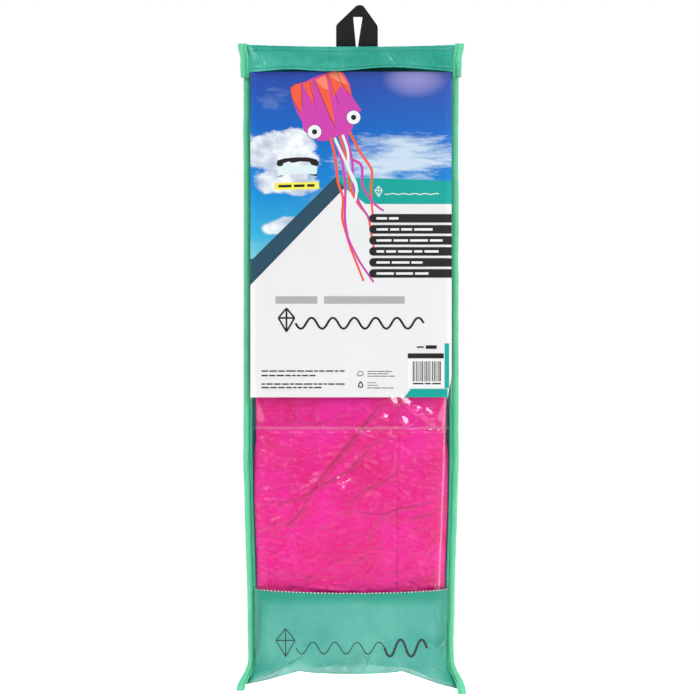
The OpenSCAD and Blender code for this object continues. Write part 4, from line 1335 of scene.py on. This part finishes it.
def decal(name, outlines, material, lift):
    """Flat shapes laid on the card, right of and below its top left corner, lift millimetres off it."""

    def place(dx, dz):
        x, z = CARD_LEFT + dx, CARD_TOP + dz
        return x, float(card_y(np.array(x), np.array(z), lift * MM)), z

    cuts = np.arange(5.3 * MM, 2 * CARD_HALF, 9.7 * MM)
    finish_piece(flat_print(name, outlines, material, place, cuts), "sleeve", "card")


def box_outline(x, y, w, h):
    return [(x, y), (x, y + h), (x + w, y + h), (x + w, y)]


def round_outline(cx, cy, r):
    turn = np.linspace(0, 2 * math.pi, 40, endpoint=False)
    return [(cx + r * math.cos(a), cy + r * math.sin(a)) for a in turn]


def ribbon_outline(points, width, end_width=None):
    """The outline of a strip of that width along a curve through the points."""
    points = np.array(points, float)
    s = arc(points)
    fine = np.linspace(0, s[-1], max(12, int(s[-1] / 3)))
    path = np.stack([np.interp(fine, s, points[:, k]) for k in range(2)], 1)
    for _ in range(3):
        path[1:-1] = (path[:-2] + 2 * path[1:-1] + path[2:]) / 4
    tangent = np.gradient(path, axis=0)
    tangent /= np.linalg.norm(tangent, axis=1)[:, None]
    normal = np.stack([-tangent[:, 1], tangent[:, 0]], 1)
    half = np.linspace(width, width if end_width is None else end_width, len(path))[:, None] / 2
    left, right = path + normal * half, path - normal * half
    return [np.array([left[i], left[i + 1], right[i + 1], right[i]]) for i in range(len(path) - 1)]


def greek_line(x, y, width, height, words, seed):
    """Bars that stand for a line of small print."""
    random = np.random.default_rng(seed)
    shares = random.uniform(0.5, 1.5, words)
    gap = height * 0.9
    usable = width - gap * (words - 1)
    out, at = [], x
    for share in shares / shares.sum():
        out.append(box_outline(at, y, usable * share, height))
        at += usable * share + gap
    return out


def kite_glyph(x, y, size, weight):
    """A generic diamond kite with a spar cross, as thin strokes."""
    top, bottom = (x, y - size), (x, y + 0.8 * size)
    left, right = (x - 0.62 * size, y - 0.25 * size), (x + 0.62 * size, y - 0.25 * size)
    out = []
    for a, b in ((top, right), (right, bottom), (bottom, left), (left, top), (top, bottom), (left, right)):
        out += ribbon_outline([a, b], weight)
    return out


def wave_glyph(x, y, length, height, waves, weight):
    """A kite's tail as a wavy stroke."""
    k = np.linspace(0, 1, 12 * waves + 1)
    points = [(x + length * t, y + height / 2 * math.sin(2 * math.pi * waves * t)) for t in k]
    return ribbon_outline(points, weight)


def card():
    xs = spread_columns(CARD_HALF, 110)
    top = FOLD_Z - CARD_TOP
    X, S = np.meshgrid(xs, np.linspace(0, 1, 130))
    D = top + S * (CARD_DROP - top)
    X = X - 3.5 * MM * ease((X - CX) / CARD_HALF * 8 - 7) * ease((S - 0.93) / 0.07)  # the corner curls in
    Z = FOLD_Z - D
    P = np.stack([X, card_y(X, Z), Z], -1)
    board = grid("card", P, card_material(), 0.45 * MM)
    finish_piece(board, "sleeve", "card", "insert_card")
    declare_sheet(board)

    w = 2 * CARD_HALF / MM
    h = (CARD_DROP - top) / MM
    black, white = ink("print_black", srgb(30, 28, 30)), ink("print_white", srgb(240, 240, 240))
    slate, teal = ink("print_slate", srgb(42, 76, 96)), ink("print_teal", srgb(0, 164, 154))
    yellow, light = ink("print_yellow", srgb(250, 236, 82)), ink("print_grey", srgb(176, 176, 178))
    pink, orange = ink("print_magenta", srgb(206, 66, 172)), ink("print_orange", srgb(244, 92, 66))
    pale, peach = ink("print_pale", srgb(222, 238, 240)), ink("print_peach", srgb(248, 138, 110))

    # sky, diagonal band and banner
    decal("print_sky", [[(0, 0), (0, 189), (85, 105), (w, 109), (w, 0)]], sky_material(), 0.03)
    decal("print_band", [[(0, 189), (0, 213), (94, 116), (85, 105)]], slate, 0.06)
    decal("print_banner", [[(85, 105), (94, 116), (115, 132), (w, 132), (w, 109)]], teal, 0.08)
    decal("print_banner_mark", kite_glyph(128, 120, 6, 0.7) + wave_glyph(134, 122, 54, 5, 5, 0.8), white, 0.1)

    # six labels
    labels, dashes = [], []
    for k in range(6):
        y = 142 + 11 * k
        end = [(w - 78 - 4.3 * math.sin(a), y + 4.3 - 4.3 * math.cos(a)) for a in np.linspace(0, math.pi, 12)]
        labels.append([(w, y)] + end + [(w, y + 8.6)])
        dashes += greek_line(w - 75, y + 3.2, (22, 56, 66, 62, 46, 52)[k], 2.3, (2, 4, 4, 5, 3, 3)[k], 300 + k)
    decal("print_labels", labels, black, 0.13)
    decal("print_label_lines", dashes, white, 0.16)
    kite_print(pink, orange, peach, black, white, pale)
    reel_print(black, pale, yellow)

    # headline, small print and codes
    decal("print_headline", greek_line(25, 224, 129, 7.5, 2, 12), light, 0.05)
    marks = kite_glyph(36, 249, 13, 1.8) + wave_glyph(45, 251, 128, 15, 6, 2.2)
    decal("print_mark", marks, black, 0.06)
    small = []
    for y, width, words in ((298, 83, 11), (302.5, 54, 8), (311, 83, 12), (314.5, 60, 9)):
        small += greek_line(11, y, width, 1.4, words, int(y))
    for y, width in ((298.6, 24), (301, 20), (303.4, 27), (310, 8), (312.6, 10), (315.2, 26)):
        small += greek_line(117, y, width, 0.8, 4, int(10 * y))
    small += greek_line(166, 274, 7, 1.6, 1, 5) + greek_line(175, 273, 11, 3.6, 1, 6)
    small += [box_outline(157, 281, 36, 5)]
    small += ribbon_outline([(107, 303.5), (107, 298.5), (113, 298.5), (113, 303.5), (107, 303.5)], 0.7)
    small += ribbon_outline([(110, 309), (113.4, 315), (106.6, 315), (110, 309)], 1.2)
    decal("print_small", small, black, 0.07)
    decal("print_code_ground", [box_outline(157, 287, 36, 28)], white, 0.09)
    random = np.random.default_rng(3)
    bars, at = [], 162
    while at < 190:
        bar = random.choice([0.35, 0.7, 1.05])
        bars.append(box_outline(at, 289, bar, 20))
        at += bar + random.choice([0.4, 0.7, 1.0])
    bars += greek_line(162, 310.5, 28, 1.5, 3, 9)
    decal("print_code", bars, black, 0.12)
    corner = [[(153.5, h), (160, h - 8.6), (w - 4, h - 8.6), (w - 4, h)], box_outline(w - 7, 271, 4.6, h - 280)]
    decal("print_corner", corner, teal, 0.05)


def kite_print(pink, orange, peach, black, white, pale):
    """The folded kite's own picture in flight: a plain octopus kite with stripes, two eyes and ribbons."""
    head = [(40, 15.5), (44, 12.5), (56, 9), (70, 3), (84, -1), (93, 1), (99, 12), (102, 26), (108, 34),
        (110.5, 38),
            (106, 44), (101, 58), (98, 63), (87, 64), (76, 69), (68, 69), (60, 64), (53, 59), (52, 50),
            (47, 42), (41, 26)]
    decal("print_kite", [head], pink, 0.06)
    stripes = [
        [(40, 15.5), (44, 12.5), (51, 11.5), (51.5, 30), (50.5, 42), (46, 34), (40.5, 24)],
        [(52, 12), (61, 8), (64, 34)],
        [(64, 8), (76, 2), (79, 20), (83, 44), (84, 54), (74, 32)],
        [(77, 2), (84, -1), (92, 1), (98, 12), (101, 24), (90, 14), (83, 26)],
    ]
    decal("print_kite_stripes", stripes, orange, 0.08)
    light = [[(78, 3), (84, 0), (91, 2), (97, 13), (88, 10)], [(65, 8.5), (75, 3.5), (78, 18), (73, 17)]]
    decal("print_kite_light", light, peach, 0.1)
    lines = []
    for path in (((40, 15.5), (46, 12), (57, 9)), ((51, 11.5), (51.5, 36)), ((59, 9), (65, 36)),
        ((64, 8), (74, 32), (85, 57)),
                 ((76, 2), (83, 18), (89, 34)), ((86, 0), (92, 14), (101, 25)), ((40, 16), (41, 26), (50, 41))):
        lines += ribbon_outline(path, 0.4)
    decal("print_kite_seams", lines, black, 0.12)
    eyes = ((103, 45.6), (64, 60))
    decal("print_eye_edges", [round_outline(x, y, 7.2) for x, y in eyes], black, 0.14)
    decal("print_eyes", [round_outline(x, y, 6.8) for x, y in eyes], white, 0.16)
    decal("print_pupils", [round_outline(x, y, 2.6) for x, y in eyes], black, 0.18)
    ribbons = (
        (orange, [(80, 66), (85, 86), (87, 110), (93, 126), (91, 146), (100, 176), (113, 209)]),
        (pink, [(84, 65), (92, 90), (95, 114), (94, 146), (97, 166), (109, 190), (123, 210)]),
        (orange, [(89, 64), (97, 90), (99, 116), (107, 132), (118, 144), (120, 158), (124, 182)]),
        (pink, [(95, 62), (102, 90), (102, 114), (109, 132), (121, 150)]),
        (orange, [(99, 60), (109, 80), (122, 98), (120, 120), (122, 142)]),
        (pink, [(102, 88), (112, 92), (111, 114), (123, 132), (133, 139)]),
        (pale, [(84, 66), (95, 90), (102, 108), (107, 116), (104, 132), (101, 138), (104, 154), (112, 170)]),
        (pale, [(92, 63), (98, 80), (97, 96), (105, 108), (107, 120)]),
    )
    for k, (material, path) in enumerate(ribbons):
        decal("print_ribbon_%d" % (k + 1), ribbon_outline(path, 2.8, 2.0), material, 0.095 + 0.004 * k)


def reel_print(black, pale, yellow):
    """A picture of the hand reel, and its label."""
    bow = [(26, 92.5), (27, 88.5), (34, 86.5), (46, 85.4), (58, 85.6), (66, 87.5), (68.5, 91), (67, 94.5),
        (61, 93), (59, 90),
           (50, 89.4), (42, 91), (38, 89.6), (33, 91.4), (32, 94), (28, 94.5)]
    decal("print_reel_body", [[(27, 93.5), (67, 93.5), (66, 103), (58, 101.6), (38, 102), (28, 104)]], pale,
        0.06)
    decal("print_reel_grip", [bow, [(26, 105.5), (32, 103), (32, 104.4)],
        [(58, 102.6), (67, 102), (66, 104.2)]], black, 0.08)
    decal("print_reel_label", [[(24, 111), (68, 110), (69, 116.8), (24.4, 118)]], yellow, 0.07)
    bars = greek_line(28, 113, 36, 2.6, 3, 77)
    decal("print_reel_label_line", [[(p[0], p[1] - 0.025 * (p[0] - 28)) for p in bar] for bar in bars],
        black, 0.1)


def emblem():
    """A generic mark printed on the lower panel: a diamond kite and its tail."""
    shapes = kite_glyph(22, 18, 16, 0.9) + wave_glyph(33, 22, 92, 16, 4, 0.9)
    shapes += wave_glyph(125, 22, 44, 22, 2, 2.4)

    def place(dx, dz):
        x, z = CX - 90 * MM + dx, FOLD_Z - PANEL_DROP - 35 * MM + dz
        y = float(front_y(np.array(x), np.array(z))) - float(panel_folds(np.array(x), np.array(z))) - 0.3 * MM
        return float(waist(x, z)), y, z

    mark = flat_print("panel_mark", shapes, ink("emblem_ink", srgb(34, 52, 58), 0.6), place)
    finish_piece(mark, "sleeve", "black_thread")


# ---- Everything ----------------------------------------------------------------------

camera_and_lights()
lower_panel()
films()
back_sheet()
bindings()
seam_stitches()
flap()
webbing_loop()
kite_bundle()
for number in range(1, 9):
    tentacle(number)
for kind, cloth, cloth_slot in (("eye", WHITE, "white_ripstop"), ("pupil", BLACK_CLOTH, "black_ripstop")):
    for hand in ("left", "right"):
        patch("%s_%s" % (kind, hand), "%s_%s" % (hand, kind), cloth, cloth_slot)
reel()
bridle()
card()
emblem()
